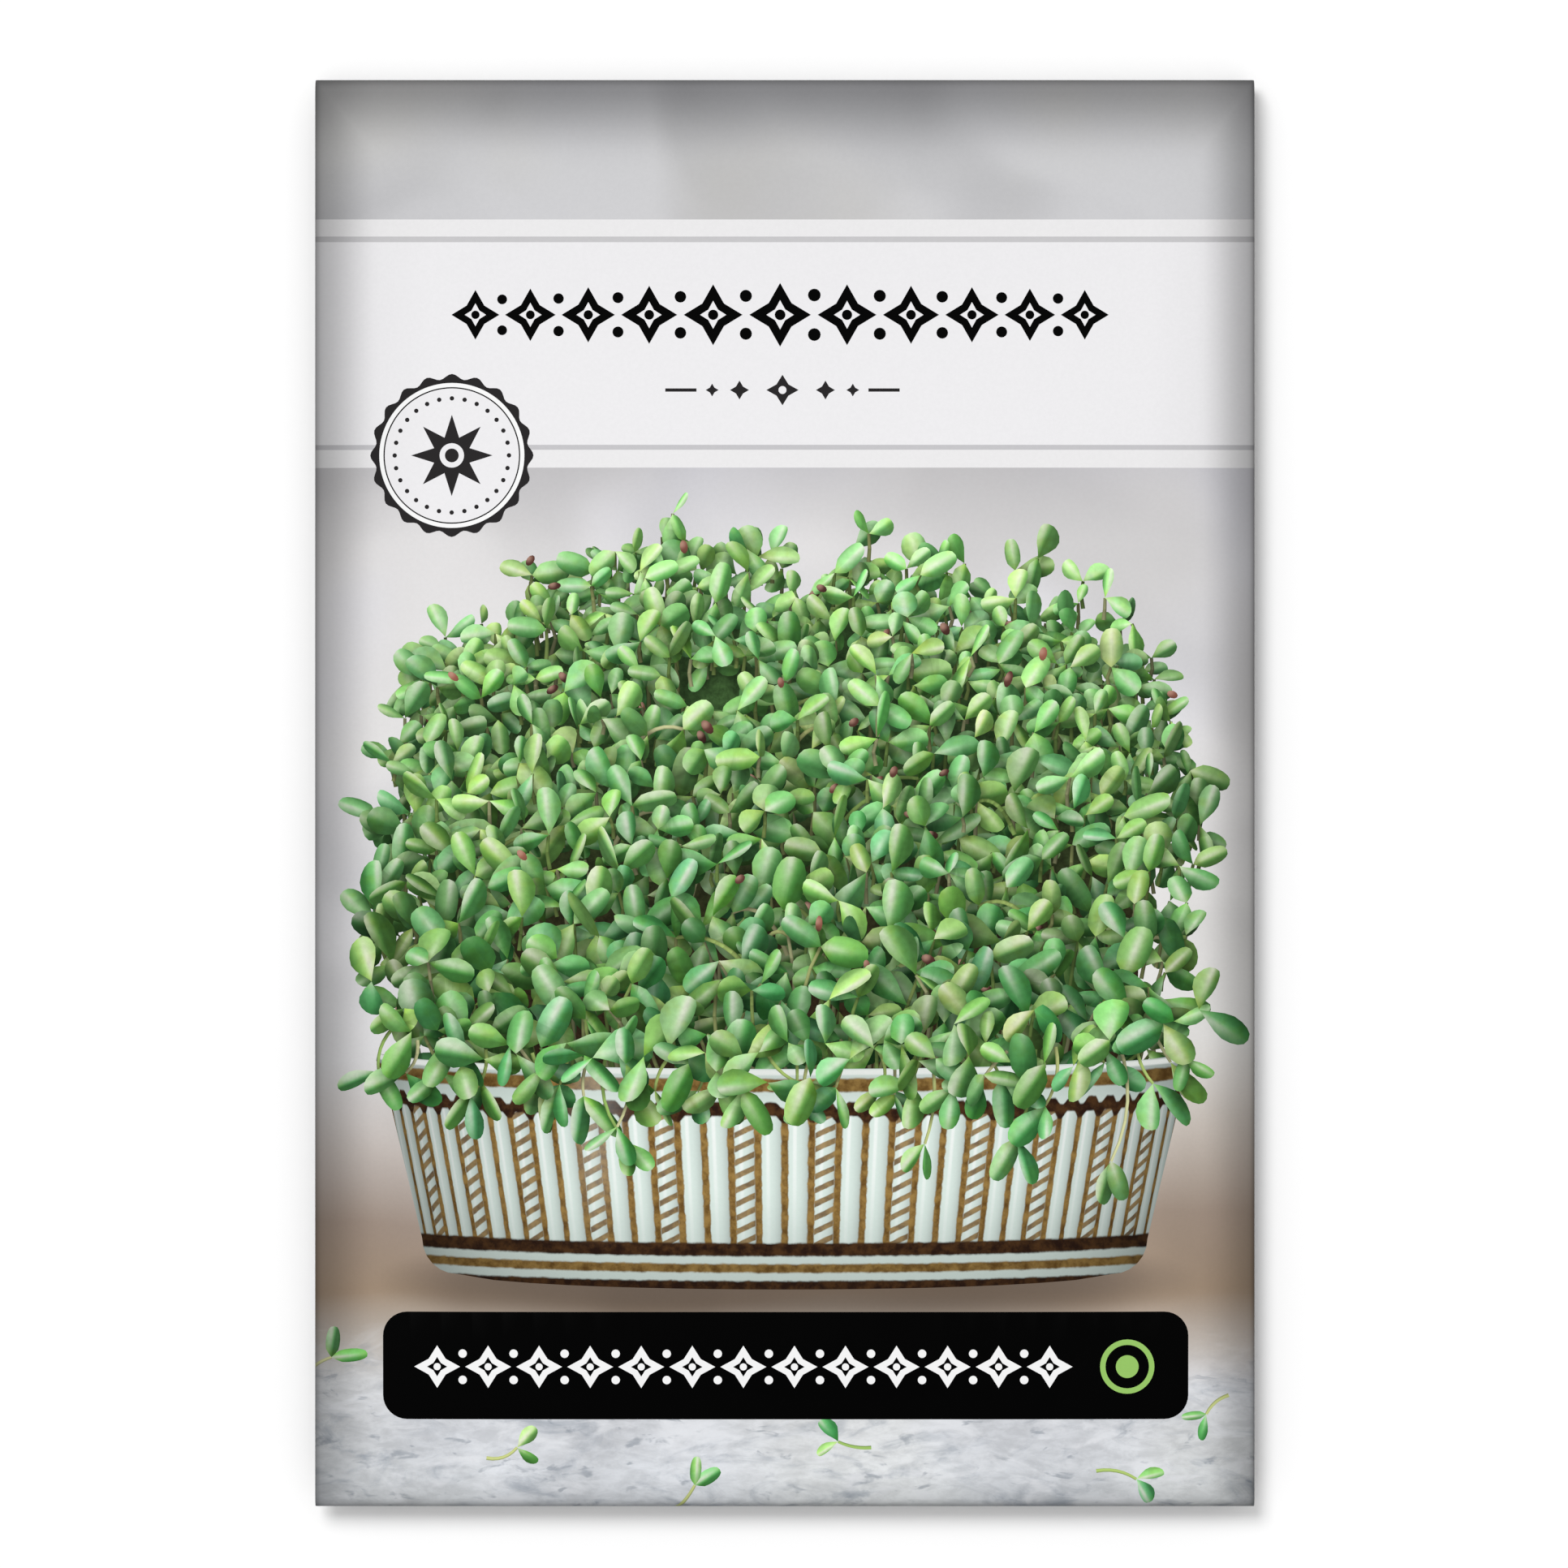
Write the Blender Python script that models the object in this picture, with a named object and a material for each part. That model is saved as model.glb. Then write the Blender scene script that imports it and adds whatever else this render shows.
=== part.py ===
# A paper seed packet, lying on its back with its printed front up and its top edge toward +Y.
# The envelope is one die-cut sheet: a front panel, a back panel folded up at the bottom edge, two
# side flaps folded in and glued to the back panel, and a top flap glued down over the back.
# Metres, +Z up. The origin is under the middle of the packet, on the surface that it lies on.

import math
import random

import bmesh
import bpy
from mathutils import Euler, Matrix, Vector

MM = 0.001

WIDTH = 79.4 * MM  # 3 1/8 in
HEIGHT = 120.65 * MM  # 4 3/4 in
PAPER = 0.15 * MM
GLUE = 0.10 * MM
CLEAR = 0.30 * MM  # between the paper and each thing that touches it

CROWN = 4.6 * MM  # printed front over the seeds, above the surface below
FRONT_EDGE = 2.7 * MM  # printed front along its four edges
INNER_GAP = 0.25 * MM  # between the front panel and the side flaps folded under it

SIDE_SWELL = 28.0 * MM  # how far in from a side edge the packet reaches its full swell
FOOT_SWELL = 34.0 * MM
HEAD_FLAT = 16.0 * MM  # under the top flap the packet stays flat
HEAD_SWELL = 36.0 * MM
BELLY_GAIN = 1.18  # the back flattens where it rests

SIDE_FLAP = 11.0 * MM
SIDE_FLAP_END = 2.6 * MM  # from the packet's corners to the ends of a side flap's fold
SIDE_FLAP_TAPER = 4.0 * MM
TOP_FLAP = 18.0 * MM
TOP_FLAP_TAPER = 3.5 * MM
TOP_FLAP_CORNER = 4.0 * MM
BACK_INSET = 1.0 * MM  # the back panel's side edges, in from the folds
BACK_TOP = 1.8 * MM  # its upper edge, below the top fold

FLAP_LIFT = PAPER + CLEAR + GLUE + CLEAR  # side flap above the back panel, printed face to face
EDGE_THICK = FLAP_LIFT + PAPER + INNER_GAP + PAPER
SIDE_FOLD = (EDGE_THICK - FLAP_LIFT) / 2  # radii of the folds, to the printed face
FOOT_FOLD = EDGE_THICK / 2
HEAD_FOLD = (EDGE_THICK + FLAP_LIFT) / 2

COLUMNS = 18
ROWS = 24
SIDE_FOLD_STEPS = 4
SIDE_FLAP_STEPS = 3
FOOT_FOLD_STEPS = 6
HEAD_FOLD_STEPS = 6

SEED = Vector((2.0, 1.5, 1.2)) * MM
SEED_STANDS = 0.70 * MM  # how far the seeds stand out of the middle of the fill
SEED_TILT = math.radians(12)
SEED_PITCH = 7.2 * MM
FILL_HALF_WIDTH = 26.0 * MM
FILL_BOTTOM = -HEIGHT / 2 + 10.0 * MM
FILL_TOP = HEIGHT / 2 - 34.0 * MM
FILL_CORNER = 12.0 * MM


def clear_scene():
    for obj in list(bpy.data.objects):
        bpy.data.objects.remove(obj, do_unlink=True)


def make_material(name, color, roughness):
    material = bpy.data.materials.new(name)
    material.use_nodes = True
    shader = material.node_tree.nodes["Principled BSDF"]
    shader.inputs["Base Color"].default_value = (*color, 1.0)
    shader.inputs["Roughness"].default_value = roughness
    shader.inputs["Metallic"].default_value = 0.0
    return material


def add_object(name, bm, material):
    mesh = bpy.data.meshes.new(name)
    bm.to_mesh(mesh)
    bm.free()
    mesh.materials.append(material)
    mesh.shade_smooth()
    mesh.set_sharp_from_angle(angle=math.radians(35))
    obj = bpy.data.objects.new(name, mesh)
    bpy.context.scene.collection.objects.link(obj)
    return obj


def ease_out(distance, length):
    t = min(max(distance / length, 0.0), 1.0)
    return 1.0 - (1.0 - t) ** 2.5


def ease_in_out(distance, length):
    t = min(max(distance / length, 0.0), 1.0)
    return t * t * (3.0 - 2.0 * t)


def swell(x, y):
    """How far the packet is filled out at a place: 0 along its edges, 1 over the seeds."""
    side = ease_out(WIDTH / 2 - abs(x), SIDE_SWELL)
    foot = ease_out(HEIGHT / 2 + y, FOOT_SWELL)
    head = ease_in_out(HEIGHT / 2 - HEAD_FLAT - y, HEAD_SWELL)
    return side * foot * head


def front_z(x, y):
    return FRONT_EDGE + (CROWN - FRONT_EDGE) * swell(x, y)


def back_z(x, y):
    return (FRONT_EDGE - EDGE_THICK) * (1.0 - min(1.0, BELLY_GAIN * swell(x, y)))


def spread(start, end, steps):
    return [start + (end - start) * i / steps for i in range(steps + 1)]


def add_patch(bm, rows):
    """Skin a grid of vertex rows with triangles."""
    for lower, upper in zip(rows, rows[1:]):
        for a, b, c, d in zip(lower, lower[1:], upper[1:], upper):
            bm.faces.new((a, b, c))
            bm.faces.new((a, c, d))


def fold_points(x, y, z, outward, radius, steps):
    """Points round a half turn that starts on a printed face at (x, y, z) and ends below it."""
    points = []
    for i in range(1, steps + 1):
        angle = math.pi * i / steps
        reach = outward * radius * math.sin(angle)
        points.append(Vector((x, y, z - radius + radius * math.cos(angle))) + reach)
    return points


def add_front_panel(bm):
    half_width = WIDTH / 2 - SIDE_FOLD
    bottom = -HEIGHT / 2 + FOOT_FOLD
    top = HEIGHT / 2 - HEAD_FOLD
    ends = SIDE_FLAP_END - FOOT_FOLD
    ys = [bottom] + spread(bottom + ends, top - ends, ROWS - 2) + [top]
    return [
        [bm.verts.new((x, y, front_z(x, y))) for x in spread(-half_width, half_width, COLUMNS)]
        for y in ys
    ]


def add_side_flap(bm, front_rows, side):
    """Fold one side edge of the front panel under it, and run the flap in over the back panel."""
    edge = -1 if side > 0 else 0
    outward = Vector((side, 0, 0))
    rows = []
    for row in front_rows[1:-1]:
        start = row[edge]
        x, y, z = start.co
        line = [start]
        line += [bm.verts.new(p) for p in fold_points(x, y, z, outward, SIDE_FOLD, SIDE_FOLD_STEPS)]
        end_left = HEIGHT / 2 - abs(y) - SIDE_FLAP_END
        for inward in spread(0.0, SIDE_FLAP, SIDE_FLAP_STEPS)[1:]:
            slant = max(0.0, SIDE_FLAP_TAPER * inward / SIDE_FLAP - end_left)
            px = x - side * inward
            py = y - math.copysign(slant, y)
            line.append(bm.verts.new((px, py, back_z(px, py) + FLAP_LIFT)))
        rows.append(line)
    add_patch(bm, rows if side < 0 else rows[::-1])


def add_back_panel(bm, front_rows):
    """Fold the front panel's bottom edge round, and run the back panel up behind it."""
    front_half = WIDTH / 2 - SIDE_FOLD
    back_half = WIDTH / 2 - BACK_INSET
    outward = Vector((0, -1, 0))
    lines = []
    for start in front_rows[0]:
        x, y, z = start.co
        line = [start]
        points = fold_points(x, y, z, outward, FOOT_FOLD, FOOT_FOLD_STEPS)
        for i, point in enumerate(points, 1):
            narrowing = 1.0 + (back_half / front_half - 1.0) * i / FOOT_FOLD_STEPS
            line.append(bm.verts.new((point.x * narrowing, point.y, point.z)))
        px = x * back_half / front_half
        for py in spread(y, HEIGHT / 2 - BACK_TOP, ROWS)[1:]:
            line.append(bm.verts.new((px, py, back_z(px, py))))
        lines.append(line)
    rows = [list(row) for row in zip(*lines)]
    add_patch(bm, rows[::-1])


def top_flap_half_width(down):
    half = WIDTH / 2 - SIDE_FOLD - TOP_FLAP_TAPER * down / TOP_FLAP
    into_corner = max(0.0, down - (TOP_FLAP - TOP_FLAP_CORNER))
    return half - TOP_FLAP_CORNER + math.sqrt(TOP_FLAP_CORNER**2 - into_corner**2)


def add_top_flap(bm, front_rows):
    """Fold the front panel's top edge back, and run the flap down over the back panel."""
    outward = Vector((0, 1, 0))
    start_half = WIDTH / 2 - SIDE_FOLD
    straight = TOP_FLAP - TOP_FLAP_CORNER
    downs = spread(0.0, straight, 3)[1:]
    downs += [straight + TOP_FLAP_CORNER * math.sin(a) for a in spread(0.0, math.pi / 2, 4)[1:]]
    lines = []
    for start in front_rows[-1]:
        x, y, z = start.co
        line = [start]
        line += [bm.verts.new(p) for p in fold_points(x, y, z, outward, HEAD_FOLD, HEAD_FOLD_STEPS)]
        for down in downs:
            px = x * top_flap_half_width(down) / start_half
            py = y - down
            line.append(bm.verts.new((px, py, back_z(px, py) - FLAP_LIFT)))
        lines.append(line)
    add_patch(bm, [list(row) for row in zip(*lines)])


def build_envelope(material):
    bm = bmesh.new()
    front_rows = add_front_panel(bm)
    add_patch(bm, front_rows)
    add_side_flap(bm, front_rows, -1)
    add_side_flap(bm, front_rows, 1)
    add_back_panel(bm, front_rows)
    add_top_flap(bm, front_rows)
    bmesh.ops.recalc_face_normals(bm, faces=bm.faces)
    bm.faces.ensure_lookup_table()
    if bm.faces[len(bm.faces) // 50].normal.z < 0:
        bmesh.ops.reverse_faces(bm, faces=bm.faces)
    envelope = add_object("paper_envelope", bm, material)
    sheet = envelope.modifiers.new("sheet", "SOLIDIFY")
    sheet.thickness = PAPER
    sheet.offset = -1.0
    sheet.use_even_offset = True
    return envelope


def build_layer(name, material, xs, ys, z_of, thickness):
    """A thin strip whose lower face follows a height rule."""
    bm = bmesh.new()
    rows = [[bm.verts.new((x, y, z_of(x, y))) for x in xs] for y in ys]
    add_patch(bm, rows)
    layer = add_object(name, bm, material)
    strip = layer.modifiers.new("strip", "SOLIDIFY")
    strip.thickness = thickness
    strip.offset = 1.0
    return layer


def build_glue(material):
    inner, outer = WIDTH / 2 - 8.5 * MM, WIDTH / 2 - 2.5 * MM
    seam_ys = spread(-HEIGHT / 2 + 8.0 * MM, HEIGHT / 2 - 8.0 * MM, 22)
    flap_xs = spread(-WIDTH / 2 + 6.0 * MM, WIDTH / 2 - 6.0 * MM, 12)
    flap_ys = spread(HEIGHT / 2 - 16.0 * MM, HEIGHT / 2 - 6.0 * MM, 2)

    def inside_back(x, y):
        return back_z(x, y) + PAPER + CLEAR

    def outside_back(x, y):
        return back_z(x, y) - CLEAR - GLUE

    build_layer("left_seam_glue", material, spread(-outer, -inner, 2), seam_ys, inside_back, GLUE)
    build_layer("right_seam_glue", material, spread(inner, outer, 2), seam_ys, inside_back, GLUE)
    build_layer("flap_glue", material, flap_xs, flap_ys, outside_back, GLUE)


def in_fill(x, y, margin):
    """Whether a place is inside the fill's outline, a rectangle with round corners."""
    middle = (FILL_TOP + FILL_BOTTOM) / 2
    half_length = (FILL_TOP - FILL_BOTTOM) / 2
    dx = max(0.0, abs(x) - (FILL_HALF_WIDTH - FILL_CORNER))
    dy = max(0.0, abs(y - middle) - (half_length - FILL_CORNER))
    return math.hypot(dx, dy) < FILL_CORNER - margin


def fill_outline(steps):
    """Points round the fill's outline."""
    middle = (FILL_TOP + FILL_BOTTOM) / 2
    x0 = FILL_HALF_WIDTH - FILL_CORNER
    y0 = (FILL_TOP - FILL_BOTTOM) / 2 - FILL_CORNER
    corners = [(x0, y0, 0), (-x0, y0, 90), (-x0, -y0, 180), (x0, -y0, 270)]
    points = []
    for cx, cy, start in corners:
        for angle in spread(math.radians(start), math.radians(start + 90), steps):
            points.append((cx + FILL_CORNER * math.cos(angle),
                           middle + cy + FILL_CORNER * math.sin(angle)))
    return points


def fill_top(x, y):
    return front_z(x, y) - PAPER - CLEAR - SEED_STANDS


def fill_bottom(x, y):
    return back_z(x, y) + PAPER + CLEAR + SEED_STANDS


def build_fill_core(material):
    """The middle of the seed fill: rings from its outline in to its centre line, above and below."""
    middle = (FILL_TOP + FILL_BOTTOM) / 2
    outline = fill_outline(4)
    bm = bmesh.new()
    rings = {}
    for name, z_of in (("top", fill_top), ("bottom", fill_bottom)):
        rings[name] = []
        for scale in (1.0, 0.72, 0.42):
            ring = []
            for x, y in outline:
                px, py = x * scale, middle + (y - middle) * scale
                ring.append(bm.verts.new((px, py, z_of(px, py))))
            rings[name].append(ring)
    count = len(outline)
    for name, loop in rings.items():
        for outer, inner in zip(loop, loop[1:]):
            for i in range(count):
                j = (i + 1) % count
                bm.faces.new((outer[i], outer[j], inner[j]))
                bm.faces.new((outer[i], inner[j], inner[i]))
        bm.faces.new(loop[-1])
    top, bottom = rings["top"][0], rings["bottom"][0]
    for i in range(count):
        j = (i + 1) % count
        bm.faces.new((bottom[i], bottom[j], top[j]))
        bm.faces.new((bottom[i], top[j], top[i]))
    bmesh.ops.triangulate(bm, faces=[face for face in bm.faces if len(face.verts) > 3])
    bmesh.ops.recalc_face_normals(bm, faces=bm.faces)
    return add_object("seed_fill", bm, material)


def seed_places(rng):
    """Staggered rows of seeds, each a little off its place, on the fill's two faces."""
    row_step = SEED_PITCH * math.sqrt(3) / 2
    rows = int((FILL_TOP - FILL_BOTTOM) / row_step)
    columns = int(2 * FILL_HALF_WIDTH / SEED_PITCH) + 1
    drift = (SEED_PITCH - SEED.x * 1.1) / 4
    for face, z_of in ((1, fill_top), (-1, fill_bottom)):
        for row in range(rows):
            for column in range(columns):
                x = -FILL_HALF_WIDTH + (column + 0.5 * (row % 2)) * SEED_PITCH
                y = FILL_BOTTOM + (row + 0.5) * row_step
                x += rng.uniform(-drift, drift)
                y += rng.uniform(-drift, drift)
                if in_fill(x, y, SEED.x * 0.6):
                    yield Vector((x, y, z_of(x, y) + face * 0.1 * MM))


def build_seed_fill(material):
    rng = random.Random(7)
    core = build_fill_core(material)
    seeds = bpy.data.collections.new("seeds")
    bpy.context.scene.collection.children.link(seeds)
    shape = bmesh.new()
    bmesh.ops.create_icosphere(shape, subdivisions=1, radius=0.5)
    bmesh.ops.transform(shape, matrix=Matrix.Diagonal((*SEED, 1.0)), verts=shape.verts)
    mesh = bpy.data.meshes.new("seed")
    shape.to_mesh(mesh)
    shape.free()
    for place in seed_places(rng):
        turn = Euler((rng.uniform(-SEED_TILT, SEED_TILT), rng.uniform(-SEED_TILT, SEED_TILT),
                      rng.uniform(0, math.tau)))
        seed = bpy.data.objects.new("seed", mesh)
        seed.matrix_world = Matrix.Translation(place) @ turn.to_matrix().to_4x4()
        seeds.objects.link(seed)
    join_collection(core, seeds)
    return core


def join_collection(obj, collection):
    """Fuse a collection's objects into one object, then remove them."""
    union = obj.modifiers.new("union", "BOOLEAN")
    union.operation = "UNION"
    union.operand_type = "COLLECTION"
    union.collection = collection
    union.solver = "EXACT"
    bpy.context.view_layer.update()
    fused = bpy.data.meshes.new_from_object(obj.evaluated_get(bpy.context.evaluated_depsgraph_get()))
    obj.modifiers.remove(union)
    obj.data = fused
    for member in list(collection.objects):
        bpy.data.objects.remove(member, do_unlink=True)
    bpy.data.collections.remove(collection)


def main():
    clear_scene()
    coated_paper = make_material("coated_paper", (0.86, 0.86, 0.87), 0.45)
    seam_glue = make_material("seam_glue", (0.90, 0.88, 0.80), 0.30)
    seed_hull = make_material("seed_hull", (0.42, 0.26, 0.09), 0.60)
    build_envelope(coated_paper)
    build_glue(seam_glue)
    build_seed_fill(seed_hull)


main()
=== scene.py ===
import math
import random

import bmesh
import bpy
import numpy as np
from mathutils import Matrix, Vector
from mathutils.bvhtree import BVHTree
from mathutils.geometry import delaunay_2d_cdt


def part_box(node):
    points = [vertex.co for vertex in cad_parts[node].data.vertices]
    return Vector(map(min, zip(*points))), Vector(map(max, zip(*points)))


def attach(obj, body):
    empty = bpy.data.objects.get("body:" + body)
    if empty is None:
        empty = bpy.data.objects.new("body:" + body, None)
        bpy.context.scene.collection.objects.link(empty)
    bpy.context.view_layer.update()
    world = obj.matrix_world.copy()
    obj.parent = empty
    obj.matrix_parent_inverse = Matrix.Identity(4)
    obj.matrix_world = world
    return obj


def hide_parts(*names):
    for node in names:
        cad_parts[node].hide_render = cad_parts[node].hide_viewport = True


# A printed paper seed packet lying on its back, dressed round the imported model.
# Plans and layouts are in millimetres, and finished meshes in metres.

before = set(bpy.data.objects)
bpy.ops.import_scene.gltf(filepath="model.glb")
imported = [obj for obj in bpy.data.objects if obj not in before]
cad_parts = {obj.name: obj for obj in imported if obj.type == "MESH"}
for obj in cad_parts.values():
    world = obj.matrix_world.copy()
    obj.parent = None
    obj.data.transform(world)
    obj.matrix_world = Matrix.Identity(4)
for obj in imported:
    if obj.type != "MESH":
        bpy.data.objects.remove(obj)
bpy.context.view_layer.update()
mm = 0.001
quarter = math.pi / 2

envelopeLow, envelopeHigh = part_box("paper_envelope")
packetWidth = (envelopeHigh[0] - envelopeLow[0]) / mm
packetHeight = (envelopeHigh[1] - envelopeLow[1]) / mm
halfWide, halfHigh = packetWidth / 2, packetHeight / 2

packet = {
    "crown": envelopeHigh[2] / mm,
    "frontEdge": 2.7,  # height of the front along its edges
    "edgeThick": 1.4,
    "flapLift": 0.85,
    "paper": 0.15,
    "swellPower": 2.5,
    "sideSwell": 28.0,  # how far in from each edge the swell has its full height
    "footSwell": 34.0,
    "headFlat": 16.0,
    "headSwell": 36.0,
    "bellyGain": 1.18,
    "sideFlap": 11.0,
    "sideFlapEnd": 2.6,
    "sideFlapTaper": 4.0,
    "topFlap": 18.0,
    "topFlapTaper": 3.5,
    "topFlapCorner": 4.0,
    "backInset": 1.0,
    "backTop": 1.8,
}
sideFold = (packet["edgeThick"] - packet["flapLift"]) / 2  # fold radii, to the printed face
footFold = packet["edgeThick"] / 2
headFold = (packet["edgeThick"] + packet["flapLift"]) / 2
sideFlat = halfWide - sideFold  # where the flat panel ends and each fold starts
footFlat = halfHigh - footFold
headFlat = halfHigh - headFold


def swell(x, y):
    # 0 along the packet's edges, 1 over the seeds
    def rise(inwards, reach):
        return 1 - (1 - np.clip(inwards / reach, 0, 1)) ** packet["swellPower"]

    sides = rise(halfWide - np.abs(x), packet["sideSwell"])
    t = np.clip((halfHigh - packet["headFlat"] - y) / packet["headSwell"], 0, 1)
    return sides * rise(halfHigh + y, packet["footSwell"]) * t * t * (3 - 2 * t)


def frontHeight(x, y):
    return packet["frontEdge"] + (packet["crown"] - packet["frontEdge"]) * swell(x, y)


def backHeight(x, y):
    edge = packet["frontEdge"] - packet["edgeThick"]
    return edge * (1 - np.minimum(1, packet["bellyGain"] * swell(x, y)))


def drapeFront(u, v):
    # places and normals on the printed front, for places on the flat sheet
    foldY = np.where(v > 0, headFold, footFold)
    turnX = np.clip((np.abs(u) - sideFlat) / sideFold, 0, quarter)
    turnY = np.clip((np.abs(v) - np.where(v > 0, headFlat, footFlat)) / foldY, 0, quarter)
    baseX = np.clip(u, -sideFlat, sideFlat)
    baseY = np.clip(v, -footFlat, headFlat)
    x = baseX + np.sign(u) * sideFold * np.sin(turnX)
    y = baseY + np.sign(v) * foldY * np.sin(turnY)
    z = frontHeight(baseX, baseY) - sideFold * (1 - np.cos(turnX)) - foldY * (1 - np.cos(turnY))
    step = 0.05  # the swell's slope is measured over this
    slopeX = (frontHeight(baseX + step, baseY) - frontHeight(baseX - step, baseY)) / (2 * step)
    slopeY = (frontHeight(baseX, baseY + step) - frontHeight(baseX, baseY - step)) / (2 * step)
    tiltX = np.clip(np.sign(u) * turnX - np.arctan(slopeX), -quarter, quarter)
    tiltY = np.clip(np.sign(v) * turnY - np.arctan(slopeY), -quarter, quarter)
    normals = np.stack([np.sin(tiltX), np.sin(tiltY), np.cos(tiltX) * np.cos(tiltY)], axis=1)
    normals /= np.linalg.norm(normals, axis=1)[:, None] + 1e-9
    return np.stack([x, y, z], axis=1), normals


print("packet", round(packetWidth, 2), "x", round(packetHeight, 2), "mm")


def ink(hexTone):
    # a printed tone, such as "d3d2d8", as linear colour
    values = [int(hexTone[i:i + 2], 16) / 255 for i in (0, 2, 4)]
    return tuple(c / 12.92 if c < 0.04045 else ((c + 0.055) / 1.055) ** 2.4 for c in values)


def inkSet(hexTones):
    return [ink(tone) for tone in hexTones.split()]


def blendInk(a, b, t):
    return tuple(p + (q - p) * t for p, q in zip(a, b))


def spread(start, end, steps):
    return [start + (end - start) * i / steps for i in range(steps + 1)]


def place(left, top):
    # a place given from the packet's upper left corner
    return left - halfWide, halfHigh - top


def rectangle(left, top, right, bottom):
    return [place(left, bottom), place(right, bottom), place(right, top), place(left, top)]


def onCircle(center, radius, angle):
    return center[0] + radius * math.cos(angle), center[1] + radius * math.sin(angle)


def roundPoints(center, radius, count):
    return [onCircle(center, radius, math.tau * i / count) for i in range(count)]


def addObject(name, data):
    obj = bpy.data.objects.new(name, data)
    bpy.context.scene.collection.objects.link(obj)
    return obj


def dropObject(obj):
    bpy.data.objects.remove(obj, do_unlink=True)


def plainMesh(name, points, faces=()):
    mesh = bpy.data.meshes.new(name)
    mesh.from_pydata(points, [], faces)
    return mesh


def smoothMesh(name, bm):
    mesh = bpy.data.meshes.new(name)
    bm.to_mesh(mesh)
    bm.free()
    mesh.shade_smooth()
    return mesh


def finishedMesh(obj):
    # the mesh as the object's modifiers leave it
    bpy.context.view_layer.update()
    return bpy.data.meshes.new_from_object(obj.evaluated_get(bpy.context.evaluated_depsgraph_get()))


# Node helpers: nodes go into the tree that was started last.

current = {}


class Wire:
    # a node's output; sums of wires and numbers become math nodes
    def __init__(self, socket):
        self.socket = socket

    def __add__(self, other):
        return calc("ADD", self, other)

    def __radd__(self, other):
        return calc("ADD", other, self)

    def __sub__(self, other):
        return calc("SUBTRACT", self, other)

    def __rsub__(self, other):
        return calc("SUBTRACT", other, self)

    def __mul__(self, other):
        return calc("MULTIPLY", self, other)

    def __rmul__(self, other):
        return calc("MULTIPLY", other, self)

    def __truediv__(self, other):
        return calc("DIVIDE", self, other)

    def __pow__(self, other):
        return calc("POWER", self, other)

    def __abs__(self):
        return calc("ABSOLUTE", self)


def feed(socket, value):
    # gives a socket a wire, a number, a place, a linear colour or a printed tone
    if isinstance(value, Wire):
        current["tree"].links.new(value.socket, socket)
    elif socket.type == "RGBA":
        socket.default_value = (*(ink(value) if isinstance(value, str) else value), 1.0)
    else:
        socket.default_value = value


def addNode(kind, inputs=None, **settings):
    node = current["tree"].nodes.new(kind)
    for key, value in settings.items():
        setattr(node, key, value)
    for key, value in (inputs or {}).items():
        feed(node.inputs[key], value)
    return node


def wire(kind, inputs=None, output=0, **settings):
    return Wire(addNode(kind, inputs, **settings).outputs[output])


def calc(operation, *values):
    return wire("ShaderNodeMath", dict(enumerate(values)), operation=operation)


def ease(value, low, high, start=0.0, end=1.0):
    inputs = dict(enumerate((value, low, high, start, end)))
    return wire("ShaderNodeMapRange", inputs, interpolation_type="SMOOTHSTEP")


def between(value, low, high, soft):
    return ease(value, low - soft, low + soft) * ease(value, high + soft, high - soft)


def distance(a, b):
    return calc("SQRT", a * a + b * b)


def split(vector):
    return [Wire(part) for part in addNode("ShaderNodeSeparateXYZ", {0: vector}).outputs]


def scaled(vector, amount):
    # a colour or a place, times a number
    return wire("ShaderNodeVectorMath", {0: vector, "Scale": amount}, operation="SCALE")


def mixInk(factor, a, b, blend="MIX"):
    return wire("ShaderNodeMix", {0: factor, 6: a, 7: b}, 2, data_type="RGBA", blend_type=blend)


def tinted(tone, hexTone):
    return mixInk(1.0, tone, hexTone, "MULTIPLY")


def ramp(value, stops):
    # stops: a position and a printed tone or a grey for each
    node = addNode("ShaderNodeValToRGB", {"Fac": value})
    band = node.color_ramp
    while len(band.elements) > 1:
        band.elements.remove(band.elements[-1])
    for i, (position, tone) in enumerate(stops):
        element = band.elements[0] if i == 0 else band.elements.new(position)
        element.position = position
        element.color = (*(ink(tone) if isinstance(tone, str) else (tone,) * 3), 1.0)
    return Wire(node.outputs["Color"])


def noise(where, scale, detail=3.0, rough=0.5, distortion=0.0):
    return wire("ShaderNodeTexNoise", {"Vector": where, "Scale": scale, "Detail": detail,
                                       "Roughness": rough, "Distortion": distortion}, "Fac")


def mottle(where, scale, detail, start, end, rough=0.5):
    # a noise that runs softly from one value to the other
    return ease(noise(where, scale, detail, rough), 0.3, 0.7, start, end)


def attribute(name, output="Vector"):
    return wire("ShaderNodeAttribute", output=output, attribute_name=name)


def bump(height, strength, depth):
    return wire("ShaderNodeBump", {"Height": height, "Strength": strength, "Distance": depth}, "Normal")


def makeMaterial(name, finish):
    # finish gives the surface's inputs, from where a place is, its x and y, and how far down it is
    material = bpy.data.materials.new(name)
    material.use_nodes = True
    current["tree"] = material.node_tree
    where = scaled(wire("ShaderNodeTexCoord", output="Object"), 1 / mm)
    x, y, _ = split(where)
    surface = material.node_tree.nodes["Principled BSDF"].inputs
    for key, value in finish(where, x, y, halfHigh - y).items():
        feed(surface[key], value)
    return material


# Kinds of printed shape: each has its own shading in the paper's material.
kindNames = ("backdrop", "leaf", "stem", "hull", "trough", "flat", "soil", "bare")
kinds = {name: number for number, name in enumerate(kindNames)}


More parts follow.
